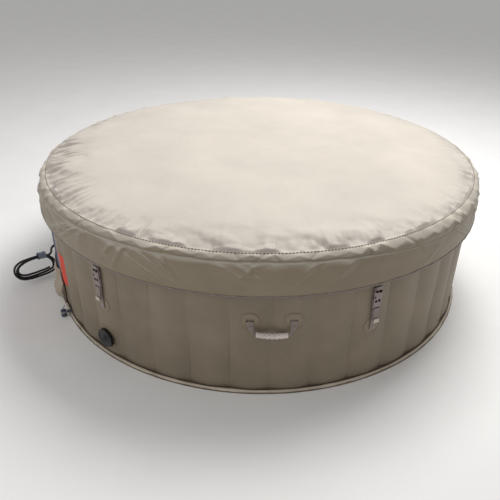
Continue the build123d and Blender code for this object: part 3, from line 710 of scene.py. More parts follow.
def floor_mat():
    """Floor with shallow quilted dimples."""
    rows, cols = 46, 240
    radius = np.linspace(0.012, 0.7985, rows)[:, None]
    points = polar(np.linspace(0, 360, cols, endpoint=False)[None], radius, 0.0)
    points[..., 2] = 0.0126 + 0.0022 * quilt(points, 0.125) * ease(0.79 - radius, 0, 0.05)
    faces = grid(rows, cols, flip=True).tolist() + [list(range(cols))]
    fit(build("floor_mat", points.reshape(-1, 3), faces, MATS["floor"]), "tub", "tub_floor")


floor_mat()

# ================================================================ the cover
CLOTH_COLS, FINE_COLS = 480, 1080    # columns while settling, and when finished
FIXED = 0.66                         # cloth nearer the middle than this doesn't settle
# sections of the cover as (radius, z): from the middle to the seam, and from there to the hem
COVER_TOP = [(0.03, 0.6868), (0.30, 0.6862), (0.60, 0.6822), (0.76, 0.6772), (0.86, 0.6712),
             (0.92, 0.6655), (0.955, 0.6600), (0.985, 0.6535), (1.007, 0.6468), (1.022, 0.6415),
             (SEAM_R, 0.6375)]
SKIRT = [(SEAM_R, 0.6375), (1.0400, 0.6312), (1.0475, 0.6225), (1.0528, 0.6130), (1.0560, 0.6050),
         (1.0574, 0.5960), (1.0574, 0.580), (1.0565, 0.54), (1.0555, 0.50), (HEM_R, 0.4740),
         (HEM_R, 0.4665)]
STRIP = 0.0325                       # least width of the gathered strip below the seam


def signed_degrees(angle):
    return (np.degrees(angle) + 180) % 360 - 180


def strip_width(angle):
    """Width of the gathered strip below the seam."""
    side = signed_degrees(angle)
    return (STRIP + 0.022 * bell(side + 68, 26) + 0.040 * bell(side - 42, 19)
            + 0.010 * bell(np.abs(side) - 150, 40))


def hem_flare(angle):
    """How far the loose skirt stands off at the hem."""
    side = signed_degrees(angle)
    return (0.033 * bell(side + 86, 24) + 0.014 * bell(side - 78, 34)
            + 0.004 * bell(np.abs(side) - 180, 60))


def resample(profile, stations):
    lengths = arc_lengths(profile)
    return np.stack([np.interp(stations, lengths, axis) for axis in np.array(profile).T], -1)


def draw_cover():
    """Tailored form before the cloth settles: points, distance of each row along, seam row."""
    top_len, skirt_len = arc_lengths(COVER_TOP)[-1], arc_lengths(SKIRT)[-1]
    on_top = np.concatenate([np.linspace(0, 0.62, 22), np.linspace(0.645, top_len - 0.2, 10),
                             np.linspace(top_len - 0.188, top_len, 16)])
    on_skirt = np.concatenate([np.linspace(0.009, 0.055, 6), np.linspace(0.0665, skirt_len, 11)])
    profile = np.concatenate([resample(COVER_TOP, on_top), resample(SKIRT, on_skirt)])
    stations = np.concatenate([on_top, top_len + on_skirt])
    along = stations[:, None]
    angle = np.linspace(0, TAU, CLOTH_COLS, endpoint=False)
    radius = np.repeat(profile[:, 0][:, None], CLOTH_COLS, 1)
    z = np.repeat(profile[:, 1][:, None], CLOTH_COLS, 1)
    radius = radius + hem_flare(angle)[None] * np.clip((along - top_len) / skirt_len, 0, 1) ** 1.1
    # the roll below the seam hangs in shallow scallops
    scallop = np.abs(ring_noise(angle, 52, seed=31, lowest=16, slope=0.2))
    ripple = ring_noise(angle, 110, seed=32, lowest=40, slope=0.2)
    roll = bell(along - top_len - 0.024, 0.016)
    z = z - roll * (0.0012 * scallop + 0.0006 * ripple)[None]
    sway = ring_noise(angle, 70, seed=33, lowest=12, slope=0.25)
    radius = radius + roll * (0.0014 * sway)[None]
    # radial folds gathering towards the seam, deeper round the front left
    near = bell(top_len - along, 0.085) * (along < top_len - 1e-6) * ease(top_len - along, 0, 0.03)
    fold = ring_noise(angle + 0.06 * along, 150, seed=34, lowest=46, slope=0.25)
    left = 0.55 + 0.9 * bell(signed_degrees(angle) + 68, 26)
    z = z + near * (0.0036 * fold * left[None])
    x, y = radius * np.sin(angle)[None], -radius * np.cos(angle)[None]
    billow = wave_sum(waves(40, 6.0, 42.0, seed=35, slope=0.9), x, y)
    z = z + 0.0016 * billow * (along < top_len) * ease(top_len - along, 0.0, 0.05)
    loose = (ease(along - top_len, 0.03, 0.07)
             * (1 - ease(along - top_len, skirt_len - 0.035, skirt_len)))
    sag = wave_sum(waves(30, 7.0, 40.0, seed=36, slope=0.8), angle[None] * 1.05 + 0 * along,
                   along * 1.6)
    radius = radius + 0.0016 * sag * loose
    return polar(np.degrees(angle)[None], radius, z), stations, len(on_top) - 1


def settle(points, stations, seam):
    """Simulate cloth a few per cent too big for its stitched rings, so it puckers between them."""
    rows = len(points)
    start = points.reshape(-1, 3)
    piece = build("cover_sim", start, grid(rows, CLOTH_COLS, flip=True), MATS["cover"])
    pin = piece.vertex_groups.new(name="pin")
    for i in range(rows):
        weight = 0.5 if i == rows - 2 else 0.0
        if i in (seam, rows - 1) or stations[i] < FIXED:
            weight = 1.0
        if weight:
            pin.add(list(range(i * CLOTH_COLS, (i + 1) * CLOTH_COLS)), weight, "REPLACE")
    grow = piece.vertex_groups.new(name="grow")
    angle = np.linspace(0, TAU, CLOTH_COLS, endpoint=False)
    growth = 0.5 + 0.35 * ring_noise(angle, 16, seed=41, lowest=3, slope=0.3)
    for i in range(rows):
        below = stations[i] - stations[seam]
        by_seam = math.exp(-((below if below < 0 else max(below - 0.01, 0)) / 0.075) ** 2)
        for j in range(CLOTH_COLS):
            weight = float(np.clip(by_seam * growth[j] + 0.08, 0, 1))
            grow.add([i * CLOTH_COLS + j], weight, "REPLACE")
    cloth = piece.modifiers.new("cloth", "CLOTH")
    settings = dict(
        quality=6, mass=0.25, tension_stiffness=30, compression_stiffness=30, shear_stiffness=12,
        bending_stiffness=0.25, tension_damping=8, compression_damping=8, shear_damping=8,
        bending_damping=0.5, air_damping=2.0, vertex_group_mass="pin",
        vertex_group_shrink="grow", shrink_min=0.0, shrink_max=-0.075,   # below zero: it grows
        use_pressure=True, uniform_pressure_force=0.6)
    for key, value in settings.items():
        setattr(cloth.settings, key, value)
    cloth.settings.effector_weights.gravity = 0.0
    cloth.collision_settings.use_collision = False
    cloth.collision_settings.use_self_collision = False
    cloth.point_cache.frame_start, cloth.point_cache.frame_end = 1, 40
    scene = bpy.context.scene
    for frame in range(1, 23):
        scene.frame_set(frame)
    settled = piece.evaluated_get(bpy.context.evaluated_depsgraph_get())
    mesh = settled.to_mesh()
    moved = np.empty(len(mesh.vertices) * 3)
    mesh.vertices.foreach_get("co", moved)
    settled.to_mesh_clear()
    scene.frame_set(1)
    shift = moved.reshape(-1, 3) - start
    size = np.linalg.norm(shift, axis=1)
    most = 0.014
    shift *= (np.minimum(size, most) / np.maximum(size, 1e-9))[:, None]
    bpy.data.objects.remove(piece, do_unlink=True)
    return (start + shift).reshape(points.shape)


def refine(points, stations, seam):
    """More columns by Fourier interpolation, more rows by cubic curves."""
    spectrum = np.fft.rfft(points, axis=1)
    padded = np.zeros((len(points), FINE_COLS // 2 + 1, 3), complex)
    padded[:, :CLOTH_COLS // 2] = spectrum[:, :CLOTH_COLS // 2]
    fine = np.fft.irfft(padded, n=FINE_COLS, axis=1) * (FINE_COLS / CLOTH_COLS)

    def rows_at(grid_rows, old, new):
        slope = np.gradient(grid_rows, old, axis=0)
        i = np.clip(np.searchsorted(old, new) - 1, 0, len(old) - 2)
        gap = (old[i + 1] - old[i])[:, None, None]
        u = ((new - old[i]) / (old[i + 1] - old[i]))[:, None, None]
        return ((2 * u ** 3 - 3 * u ** 2 + 1) * grid_rows[i]
                + (u ** 3 - 2 * u ** 2 + u) * gap * slope[i]
                + (-2 * u ** 3 + 3 * u ** 2) * grid_rows[i + 1]
                + (u ** 3 - u ** 2) * gap * slope[i + 1])

    at_seam, at_hem = stations[seam], stations[-1]
    top = np.concatenate([stations[stations < FIXED][:-1],
                          np.arange(FIXED, at_seam - 0.058, 0.0075),
                          np.linspace(at_seam - 0.052, at_seam, 16)])
    skirt = np.concatenate([at_seam + np.linspace(0, 0.090, 37)[1:],
                            np.linspace(at_seam + 0.095, at_hem, 15)])
    points = np.concatenate([rows_at(fine[:seam + 1], stations[:seam + 1], top),
                             rows_at(fine[seam:], stations[seam:], skirt)])
    return points, np.concatenate([top, skirt]), len(top) - 1


def zigzag(angle, radius, shortest, longest, low, high, seed):
    """Random zigzag round a ring: legs between two lengths, turning near levels low and high."""
    rng = np.random.default_rng(seed)
    places, levels, at, rising = [0.0], [low], 0.0, True
    girth = TAU * radius
    while at < girth - longest:
        at += rng.uniform(shortest, longest)
        places.append(at)
        levels.append(rng.uniform(0.70, 1.0) * high if rising
                      else low + rng.uniform(0.0, 0.35) * (high - low))
        rising = not rising
    return np.interp((angle % TAU) * radius, places + [girth], levels + [low])


def triangle(x):
    """Triangle wave between -1 and 1: a sharp crease at each turn."""
    return 4 * np.abs((x / TAU) % 1.0 - 0.5) - 1


def crease_skirt(angle, below, skirt_len):
    """Outward and upward moves of the strip and skirt; below is the distance past the seam."""
    width = strip_width(angle)
    around = angle[None]
    # gathered strip: a zigzag ridge between the seam and the pinched line
    peak = np.clip(zigzag(angle, 1.04, 0.022, 0.062, 0.12, 0.90, seed=61), 0.10, 0.90)
    part = np.clip(below / width[None], 0, 1)
    tent = np.minimum(part / peak[None], (1 - part) / (1 - peak[None]))
    height = 0.0068 * (0.80 + 0.30 * ring_noise(angle, 40, seed=62, lowest=5, slope=0.4))
    height = np.clip(height, 0.0030, 0.0094) * (width / STRIP) ** 0.75
    out = tent * height[None] * 0.74
    rise = tent * height[None] * 0.68
    # nips where the gathers are pinched
    rng = np.random.default_rng(63)
    for _ in range(64):
        centre = rng.uniform(0, TAU)
        narrow = rng.uniform(0.0022, 0.0045)
        slant = rng.uniform(-1.2, 1.2)
        off = (((around - centre + math.pi) % TAU - math.pi) * 1.045
               - slant * (below - width[None] * 0.5))
        fade = np.clip((below / width[None] - 0.9) / rng.uniform(0.2, 1.2), 0, 1)
        nip = bell(off, narrow) * ease(below, 0.0, 0.005) * (1 - fade)
        out -= 0.0034 * nip
        rise -= 0.0016 * nip
    # pinched line below the strip, and the shoulder of the skirt under it
    past = below - width[None]
    out -= 0.0032 * bell(past, 0.0022)
    out += 0.0022 * ease(past, 0.0004, 0.0046) * (1 - ease(past, 0.03, 0.07))
    # long soft folds slanting down the skirt
    free = ease(past, 0.001, 0.020) * (1 - ease(below, skirt_len - 0.030, skirt_len - 0.002))
    for _ in range(74):
        centre = rng.uniform(0, TAU)
        wide = rng.uniform(0.010, 0.030)
        slant = rng.choice([-1, 1]) * rng.uniform(0.3, 2.1)
        height = rng.uniform(0.0030, 0.0078)
        end = rng.uniform(0.06, 0.17)
        off = ((around - centre + math.pi) % TAU - math.pi) * 1.05 - slant * past
        fold = np.exp(-np.abs(off) / wide) - 0.35 * bell(off - 1.8 * wide, wide)
        out += height * fold * free * (1 - ease(past, end * 0.6, end))
    return out, rise


def crease_top(angle, inside, x, y):
    """Upward moves of the top panel, strongest near the seam; inside is the distance from it."""
    top = inside > 0
    side = signed_degrees(angle)
    left, front = bell(side + 78, 34), bell(side + 12, 52)
    reach = (0.075 + 0.055 * left + 0.030 * front
             + 0.022 * ring_noise(angle, 14, seed=64, lowest=3, slope=0.4))
    reach = np.clip(reach, 0.03, 0.2)
    near = bell(np.maximum(inside, 0), reach[None]) * ease(inside, 0.0, 0.010) * top
    gate = np.clip(0.55 + 0.55 * wave_sum(waves(10, 3.0, 9.0, seed=65, slope=0.5), x, y), 0.06, 1.3)
    rng = np.random.default_rng(66)
    short = np.zeros_like(x)
    for _ in range(11):
        pitch = rng.uniform(0.075, 0.22)
        heading = rng.uniform(0, TAU)
        phase = rng.uniform(0, TAU)
        warp = 0.9 * np.sin(x * rng.uniform(5, 13) + y * rng.uniform(5, 13) + phase)
        run = TAU / pitch * (x * math.cos(heading) + y * math.sin(heading))
        short += (pitch / 0.22) ** 0.6 * triangle(run + phase + warp)
    rise = 0.0042 * short * near * gate
    # radial gathers, long and deep round the left-hand side
    depth = 0.22 + 1.25 * left + 0.40 * front
    fade = (bell(np.maximum(inside - 0.015, 0), (0.055 + 0.115 * left)[None])
            * ease(inside, 0.0, 0.012) * top)
    for pitch, height, seed in ((0.062, 0.0085, 67), (0.035, 0.0028, 68)):
        phase = 2.4 * ring_noise(angle, 22, seed, lowest=3, slope=0.6)
        gather = np.abs(np.sin(math.pi * (angle * 1.04) / pitch + phase)) ** 0.8 - 0.62
        rise += height * (gather * depth)[None] * fade
    # faint long creases anywhere on the top, from folding
    long = np.zeros_like(x)
    for _ in range(5):
        pitch = rng.uniform(0.30, 0.55)
        heading = rng.uniform(0, TAU)
        run = TAU / pitch * (x * math.cos(heading) + y * math.sin(heading))
        long += triangle(run + rng.uniform(0, TAU) + 0.8 * np.sin(6 * x - 5 * y))
    return rise + 0.0016 * long * top * ease(inside, 0.02, 0.08)


def crease(points, stations, seam):
    angle = np.linspace(0, TAU, points.shape[1], endpoint=False)
    below = (stations - stations[seam])[:, None]
    out, rise = crease_skirt(angle, below, stations[-1] - stations[seam])
    rise = rise + crease_top(angle, -below, points[..., 0], points[..., 1])
    # valleys in the top stay clear of the lid and the rim below; ridges stay low
    clear = np.clip(rise + 0.0022, -0.0012, 0.0095) * ease(-below, 0.0, 0.012)
    rise = np.where(below < 0, clear, rise)
    radial = np.stack([np.sin(angle), -np.cos(angle), 0 * angle], -1)[None]
    return points + radial * out[..., None] + np.array([0, 0, 1.0]) * rise[..., None]


def grid_normals(points):
    """Outward unit normals of a grid of points that is closed round its columns."""
    normals = np.cross(np.roll(points, -1, axis=1) - np.roll(points, 1, axis=1),
                       np.gradient(points, axis=0))
    normals /= np.maximum(np.linalg.norm(normals, axis=2), 1e-12)[..., None]
    sign = np.sign((normals * (points - np.array([0, 0, 0.3]))).sum(axis=2))
    sign[sign == 0] = 1
    return normals * sign[..., None]


def shaped_cover():
    points, stations, seam = draw_cover()
    points = settle(points, stations, seam)
    # keep the skirt off the straps under it
    least = 1.0520
    radius = np.hypot(points[..., 0], points[..., 1])
    below = (stations > stations[seam] + 0.03)[:, None]
    points[..., :2] *= np.where(below & (radius < least), least / radius, 1.0)[..., None]
    points, stations, seam = refine(points, stations, seam)
    return crease(points, stations, seam), stations, seam


def cover_cloth(points, stations, seam):
    """Outer face and a lining inside it, joined along the hem; a fan closes the middle of each."""
    thick = 0.0014
    rows, cols = points.shape[:2]
    total = rows * cols
    centre = points[0].mean(axis=0)
    verts = np.concatenate([points.reshape(-1, 3),
                            (points - thick * grid_normals(points)).reshape(-1, 3),
                            [centre, centre - np.array([0, 0, thick])]])
    uv = points[..., :2].copy()
    azimuth = np.linspace(0, 360, cols, endpoint=False)
    uv[seam:, :, 0] = np.radians(azimuth)[None] * 1.06
    uv[seam:, :, 1] = stations[seam:, None]
    uv = uv.reshape(-1, 2)
    quads = grid(rows, cols, flip=True)
    hem = total - cols
    pairs = [(j, (j + 1) % cols) for j in range(cols)]
    faces = (quads.tolist() + (quads[:, ::-1] + total).tolist()
             + [[2 * total, a, b] for a, b in pairs]
             + [[2 * total + 1, total + b, total + a] for a, b in pairs]
             + [[hem + a, hem + b, total + hem + b, total + hem + a] for a, b in pairs])
    on_skirt = (np.arange(len(quads)) // cols >= seam).astype(int)
    slots = np.concatenate([on_skirt, np.full(len(quads), 2), np.zeros(cols, int),
                            np.full(cols, 2), np.ones(cols, int)])
    cover = build("cover_cloth", verts, faces, [MATS["cover"], MATS["skirt"], MATS["under"]],
                  uv=np.concatenate([uv, uv, [centre[:2], centre[:2]]]), slots=slots)
    fit(cover, "cover", "cover_top", "cover_skirt")


cover_points, cover_stations, seam_row = shaped_cover()
cover_cloth(cover_points, cover_stations, seam_row)


# ---------------------------------------------------------------- cover seam and hem
def ring_at(ring, fraction):
    """Points at fractions of the way round a ring of points."""
    count = len(ring)
    at = (fraction % 1.0) * count
    i = np.floor(at).astype(int)
    u = (at - i)[..., None]
    return ring[i % count] * (1 - u) + ring[(i + 1) % count] * u


def seam_trim(ring):
    """Stitches over a low cord along the joined edges of the two panels."""
    bag = Bag()
    count = 512
    lift = np.array([0.0002, 0.0011, 0.0014, 0.0011, 0.0002])
    for i in range(count):
        path = ring_at(ring, np.linspace(i / count, (i + 0.66) / count, 5))
        path = path + outward(path) * (lift * 0.6)[:, None]
        path[:, 2] += lift * 0.8
        bag.add(tube(path, np.array([0.0007, 0.0012, 0.0013, 0.0012, 0.0007]), 6))
    bag.make("seam_stitches", MATS["stitch"], "cover")
    path = ring_at(ring, np.linspace(0, 1, 960, endpoint=False)) + np.array([0, 0, -0.0006])
    fit(build("seam_cord", *tube(path, 0.0013, 6, closed=True), MATS["skirt"]),
        "cover", "cover_piping")


# section of the hem band about the edge of the cloth: (outward, up)
HEM_SECTION = [(-0.0014, 0.0060), (0.0008, 0.0068), (0.0016, 0.0058), (0.0019, 0.0032),
               (0.0019, 0.0006), (0.0014, -0.0010), (0.0, -0.0014), (-0.0017, -0.0010),
               (-0.0021, 0.0006), (-0.0020, 0.0034)]


def hem_trim(ring):
    cols = 960
    part = np.linspace(0, 1, cols, endpoint=False)
    edge = ring_at(ring, part)
    wave = 0.0006 * ring_noise(part * TAU, 120, seed=51, lowest=20, slope=0.4)
    fray = 0.0004 * ring_noise(part * TAU, 200, seed=52, lowest=60, slope=0.2)
    rings = []
    for out, rise in HEM_SECTION:
        points = edge + outward(edge) * (out + fray)[:, None]
        points[:, 2] += rise + wave
        rings.append(points)
    faces = tube_faces(len(rings), cols, close=True)
    fit(build("hem_binding", np.concatenate(rings), faces, MATS["binding"]), "cover", "cover_hem")
    bag = Bag()
    count = 720
    for i in range(count):
        path = ring_at(ring, np.linspace(i / count, (i + 0.62) / count, 3))
        path = path + outward(path) * np.array([[0.0017], [0.0024], [0.0017]])
        bag.add(tube(path + np.array([0, 0, 0.0044]), 0.00055, 5))
    bag.make("hem_stitches", MATS["thread_pale"], "cover")


seam_trim(cover_points[seam_row])
hem_trim(cover_points[-1])


def inflated_lid():
    """Domed disc with spot welds, under the cover."""
    cols, flat_r = 240, 0.735
    azimuth = np.linspace(0, 360, cols, endpoint=False)
    radii = np.linspace(0.012, flat_r, 26)
    rings = []
    for radius in radii:
        ring = polar(azimuth, radius, 0.0)
        ring[:, 2] = 0.661 + 0.0115 * (1 - (radius / flat_r) ** 2) + 0.003 * quilt(ring, 0.26)
        rings.append(ring)
    for angle in np.radians(np.linspace(80, -80, 13)):
        rings.append(polar(azimuth, 0.742 + 0.036 * math.cos(angle),
                           0.6265 + 0.0345 * math.sin(angle)))
    for radius in radii[::-1]:
        ring = polar(azimuth, radius, 0.0)
        ring[:, 2] = 0.592 + 0.002 * (1 - quilt(ring, 0.26)) * (1 - ease(radius, 0.6, flat_r))
        rings.append(ring)
    fit(build("inflated_lid", np.concatenate(rings), tube_faces(len(rings), cols), MATS["inner"]),
        "cover", "lid_bladder")


inflated_lid()

# ================================================================ parts laid on the wall
WALL_TREE = BVHTree.FromPolygons([tuple(v.co) for v in wall.data.vertices],
                                 [tuple(p.vertices) for p in wall.data.polygons])


def wall_radius(x, y, z):
    """Radius of the wall's outer face in a direction, or the crest radius over the bay."""
    reach = math.hypot(x, y)
    x, y = x / reach, y / reach
    hit = WALL_TREE.ray_cast(Vector((x * 1.25, y * 1.25, z)), Vector((-x, -y, 0)), 0.3)[0]
    return R_CREST if hit is None else math.hypot(hit.x, hit.y)


def lay_on_wall(verts, azimuth):
    """Turn points to an azimuth and lay their y = -R_CREST plane on the wall."""
    laid = []
    for (x, y, z), source in zip(spin(verts, azimuth), verts):
        scale = (wall_radius(x, y, z) + (-source[1] - R_CREST)) / math.hypot(x, y)
        laid.append((x * scale, y * scale, z))
    return np.array(laid)


# welded patch from its rim to its middle: (radius, height off the wall)
PATCH = [(0.0376, 0.0000), (0.0372, 0.0014), (0.0364, 0.0026), (0.0352, 0.0030),
         (0.0340, 0.0023), (0.0330, 0.0008), (0.0306, 0.0008), (0.0294, 0.0014),
         (0.0270, 0.0015), (0.0200, 0.0015), (0.0100, 0.0015), (0.0010, 0.0015)]


def welded_patches():
    """One for each buckle strap and each handle leg; the handle ones have a lipped slit, with a dark
    box in it as painted shade.
    """
    patches, slit_shadows = Bag(), Bag()
    spots = [(azimuth, 0.266, False) for azimuth in BUCKLES]
    spots += [(azimuth + side * HANDLE_LEG, HANDLE_Z, True) for azimuth in HANDLES
              for side in (-1, 1)]
    for azimuth, z, slit in spots:
        patches.add(lathe([(r, R_CREST + off) for r, off in PATCH], 72, z), lay_on_wall, azimuth)
        if not slit:
            continue
        for rise, off, radius in ((0.0052, 0.0019, 0.0011), (-0.0052, 0.0016, 0.0008)):
            lip = [(x, -(R_CREST + off), z + rise) for x in np.linspace(-0.0150, 0.0150, 15)]
            patches.add(tube(lip, radius, 8), lay_on_wall, azimuth)
        # dark box in the slit: painted shade of the opening
        slit_shadows.add(box(-0.0136, 0.0136, -1.0448, -1.0440, z - 0.0046, z + 0.0030),
                  lay_on_wall, azimuth)
    patches.make("welded_patches", MATS["patch"], "tub", "anchor_patches")
    slit_shadows.make("patch_slit_shadows", MATS["dark"], "tub", smooth=False)


welded_patches()

# ---------------------------------------------------------------- cover tie-down straps
STRAP_W, STRAP_T = 0.0250, 0.0016
UPPER_STRAP = [(1.0478, 0.5050), (1.0478, 0.4800), (1.0478, 0.4520), (1.0482, 0.4430),
               (1.0500, 0.4400), (1.0540, 0.4397), (1.0561, 0.4420), (1.0563, 0.4500),
               (1.0566, 0.4560)]     # (distance out, height)


def lower_strap(slack):
    """Up from the patch, over the buckle's bar and down: (distance out, height)."""
    return [(1.0462, 0.2500), (1.0472, 0.2570), (1.0478, 0.272), (1.0478, 0.300),
            (1.0479, 0.335), (1.0480, 0.350), (1.0492, 0.3566), (1.0520, 0.3583),
            (1.0550, 0.3572), (1.0562, 0.3510), (1.0563, 0.336), (1.0565 + slack, 0.320),
            (1.0572 + 2 * slack, 0.308), (1.0590 + 3 * slack, 0.2985)]


def strap(line, width, thick, count, seed, wobble):
    """Webbing whose line, (distance out, height), lies in an upright plane across the wall."""
    path = smooth_path([(0.0, -out, z) for out, z in line], count)
    out = np.cross(np.array([[1.0, 0, 0]]), unit(np.gradient(path, axis=0)))
    u = np.linspace(-1, 1, 9)
    part = np.linspace(0, 1, count)
    phase = np.random.default_rng(seed).uniform(0, TAU, 3)
    lift = wobble * (np.sin(9 * part + phase[0])[:, None] * u[None]
                     + 0.6 * np.sin(21 * part + phase[1])[:, None] * (u[None] ** 2))
    return band(path, (1, 0, 0), out, width, thick, lift=lift)


def tie_down_straps():
    lower, lower_thread, upper, upper_thread, tabs = (Bag() for _ in range(5))
    x, y, low, high = 0.0096, -1.04885, 0.2590, 0.2760      # stitched box with crossed diagonals
    frame = [(-x, y, low), (x, y, low), (x, y, high), (-x, y, high), (-x, y, low), (x, y, high)]
    for k, azimuth in enumerate(BUCKLES):
        slack = 0.0012 * np.random.default_rng(40 + k).uniform(0.4, 1.0)
        lower.add(strap(lower_strap(slack), STRAP_W, STRAP_T, 56, 60 + k, 0.0003), spin, azimuth)
        # paler tab round the free end
        end = 1.0590 + 3 * slack
        tab = [(end - 0.0006, 0.3010), (end + 0.0006, 0.2960), (end + 0.0028, 0.2950),
               (end + 0.0034, 0.3000), (end + 0.0024, 0.3120)]
        tabs.add(strap(tab, 0.0252, 0.0015, 24, 80 + k, 0.0001), spin, azimuth)
        lower_thread.add(stitch_run(frame), spin, azimuth)
        lower_thread.add(stitch_run([(x, y, low), (-x, y, high)]), spin, azimuth)
        upper.add(strap(UPPER_STRAP, STRAP_W, STRAP_T, 40, 90 + k, 0.0002), spin, azimuth)
        for out, z in ((1.0574, 0.4520), (1.0572, 0.4475)):
            upper_thread.add(stitch_run([(-0.0100, -out, z), (0.0100, -out, z)]), spin, azimuth)
    lower.make("lower_strap_webbing", MATS["web"], "tub", "lower_straps")
    upper.make("upper_strap_webbing", MATS["web"], "cover", "upper_straps")
    tabs.make("strap_end_tabs", MATS["tab"], "tub")
    lower_thread.make("lower_strap_stitches", MATS["thread_pale"], "tub")
    upper_thread.make("upper_strap_stitches", MATS["thread_pale"], "cover")


tie_down_straps()

# ---------------------------------------------------------------- carry handles
GRIP_HALF = 0.0600


def place_handle(verts, azimuth):
    """From the handle's frame (origin on its hinge line, hanging down) to the tub's."""
    tilt = math.radians(-13.0)
    x, y, z = np.asarray(verts, float).T
    tilted_y = y * math.cos(tilt) - z * math.sin(tilt)
    tilted_z = y * math.sin(tilt) + z * math.cos(tilt)
    return spin(np.stack([x, tilted_y - 1.0475, tilted_z + HANDLE_Z], -1), azimuth)


def grip_axis(x):
    """Height of the grip's axis: it sags in the middle and hangs lower on one side."""
    return -0.0500 - 0.0060 * (1 - (x / GRIP_HALF) ** 2) - 0.0022 * (x / GRIP_HALF)


def handle_leg(side):
    """The two plies of one leg, narrowing and folding as it turns towards the grip."""
    count = 44
    part = np.linspace(0, 1, count)
    width = 0.0250 - 0.0130 * ease(part, 0.18, 0.92)
    x = side * (0.0690 - 0.0025 * part - 0.0070 * ease(part, 0.72, 1.0) + width / 2)
    top, bottom = 0.0046, grip_axis(side * GRIP_HALF) - 0.0006
    z = top + (bottom - top) * part ** 0.94
    path = np.stack([x, -0.0004 - 0.0018 * np.sin(part * math.pi), z], -1)
    along = unit(np.gradient(path, axis=0))
    turn = ((0.25 if side < 0 else 1.35) * ease(part, 0.45, 1.0) * -side)[:, None]
    level = np.tile([1.0, 0.0, 0.0], (count, 1))
    level = unit(level - along * (level * along).sum(1)[:, None] * ease(part, 0.2, 0.9)[:, None])
    normal = unit(np.cross(level, along))
    normal *= np.sign(-normal[:, 1:2])
    across = level * np.cos(turn) + normal * np.sin(turn)
    out = normal * np.cos(turn) - level * np.sin(turn)
    u = np.linspace(-1, 1, 13)
    fold = -0.0048 * ease(part, 0.3, 0.95)[:, None] * (np.abs(u) - 0.5)[None]
    fold = fold + 0.0008 * np.sin(u * 7 + 1.0)[None] * ease(part, 0.35, 0.9)[:, None]
    lower = slice(14, None)          # the second ply covers the lower part only
    return [band(path, across, out, width, 0.0017, 13, fold),
            band(path[lower] + out[lower] * 0.0019, across[lower], out[lower],
                 width[lower] * 0.72, 0.0015, 13, fold[lower] * 0.8)]


def grip_sleeve(k):
    """Moulded tube with open ends and a lozenge pattern over its middle."""
    rows, sides = 132, 72
    station = np.linspace(-GRIP_HALF, GRIP_HALF, rows)
    round_ = np.linspace(0, TAU, sides, endpoint=False)
    middle = ease(station, -0.038, -0.031) * (1 - ease(station, 0.031, 0.038))
    x, angle = np.meshgrid(station, round_, indexing="ij")
    turns = x * TAU / 0.0175
    lozenge = np.cos(turns + 3 * angle) + np.cos(turns - 3 * angle)
    lozenge = 0.00120 * np.tanh(lozenge * 1.6) * middle[:, None]
    end = 1 - 0.10 * (np.clip((np.abs(station) - 0.0572) / 0.0028, 0, 1) ** 2)
    bead = 0.00045 * bell(np.abs(station) - 0.0545, 0.0012)
    radius = (0.0104 * end[:, None] + lozenge + bead[:, None]
              + 0.00012 * np.sin(angle * 2 + x * 40 + k))
    outer = np.stack([x, radius * np.cos(angle), radius * np.sin(angle) + grip_axis(x)], -1)
    bore, back = 0.0080, x[::-1]
    inner = np.stack([back, bore * np.cos(angle), bore * np.sin(angle) + grip_axis(back)], -1)
    return np.concatenate([outer, inner]).reshape(-1, 3), tube_faces(2 * rows, sides, close=True)


def carry_handle(k, azimuth):
    webs, thread = Bag(), Bag()
    for side in (-1, 1):
        for ply in handle_leg(side):
            webs.add(ply, place_handle, azimuth)
        for z in (-0.0030, -0.0072):
            row = [(side * 0.0820 - 0.0102, -0.0021, z), (side * 0.0820 + 0.0096, -0.0021, z)]
            thread.add(stitch_run(row, 0.0028, 0.00032)[:2], place_handle, azimuth)
    # webbing core running through the grip
    x = np.linspace(-0.0575, 0.0575, 30)
    core = np.stack([x, 0 * x, grip_axis(x)], -1)
    webs.add(band(core, (0, 0, 1), (0, -1, 0), 0.0130, 0.0040), place_handle, azimuth)
    body = f"handle_{k}"
    webs.make(f"{body}_straps", MATS["web"], body, f"{body}_webbing")
    thread.make(f"{body}_stitches", MATS["thread_pale"], body)
    verts, faces = grip_sleeve(k)
    fit(build(f"{body}_sleeve", place_handle(verts, azimuth), faces, MATS["grip"]),
        body, f"{body}_grip")


for number, handle_azimuth in enumerate(HANDLES, 1):
    carry_handle(number, handle_azimuth)

# ---------------------------------------------------------------- drain cap
# cap section from the middle of its back, round the rim, to the middle of its face,
# and the welded ring round it: (radius, distance out)
CAP = [(0.0005, 1.0606), (0.0302, 1.0606), (0.0302, 1.0486), (0.0415, 1.0484), (0.0434, 1.0490),
       (0.0440, 1.0502), (0.0440, 1.0606), (0.0434, 1.0628), (0.0420, 1.0640), (0.0330, 1.0642),
       (0.0324, 1.0630), (0.0310, 1.0628), (0.0304, 1.0642), (0.0226, 1.0644), (0.0220, 1.0634),
       (0.0203, 1.0633), (0.0197, 1.0644), (0.0140, 1.0646), (0.0124, 1.0650), (0.0113, 1.0664),
       (0.0108, 1.0680), (0.0094, 1.0686), (0.0082, 1.0680), (0.0076, 1.0668), (0.0030, 1.0666),
       (0.0004, 1.0668)]
WELD_RING = [(0.0556, 1.0430), (0.0554, 1.0442), (0.0546, 1.0452), (0.0532, 1.0456),
             (0.0520, 1.0450), (0.0512, 1.0446), (0.0500, 1.0454), (0.0480, 1.0457),
             (0.0465, 1.0452), (0.0455, 1.0442), (0.0455, 1.0425)]


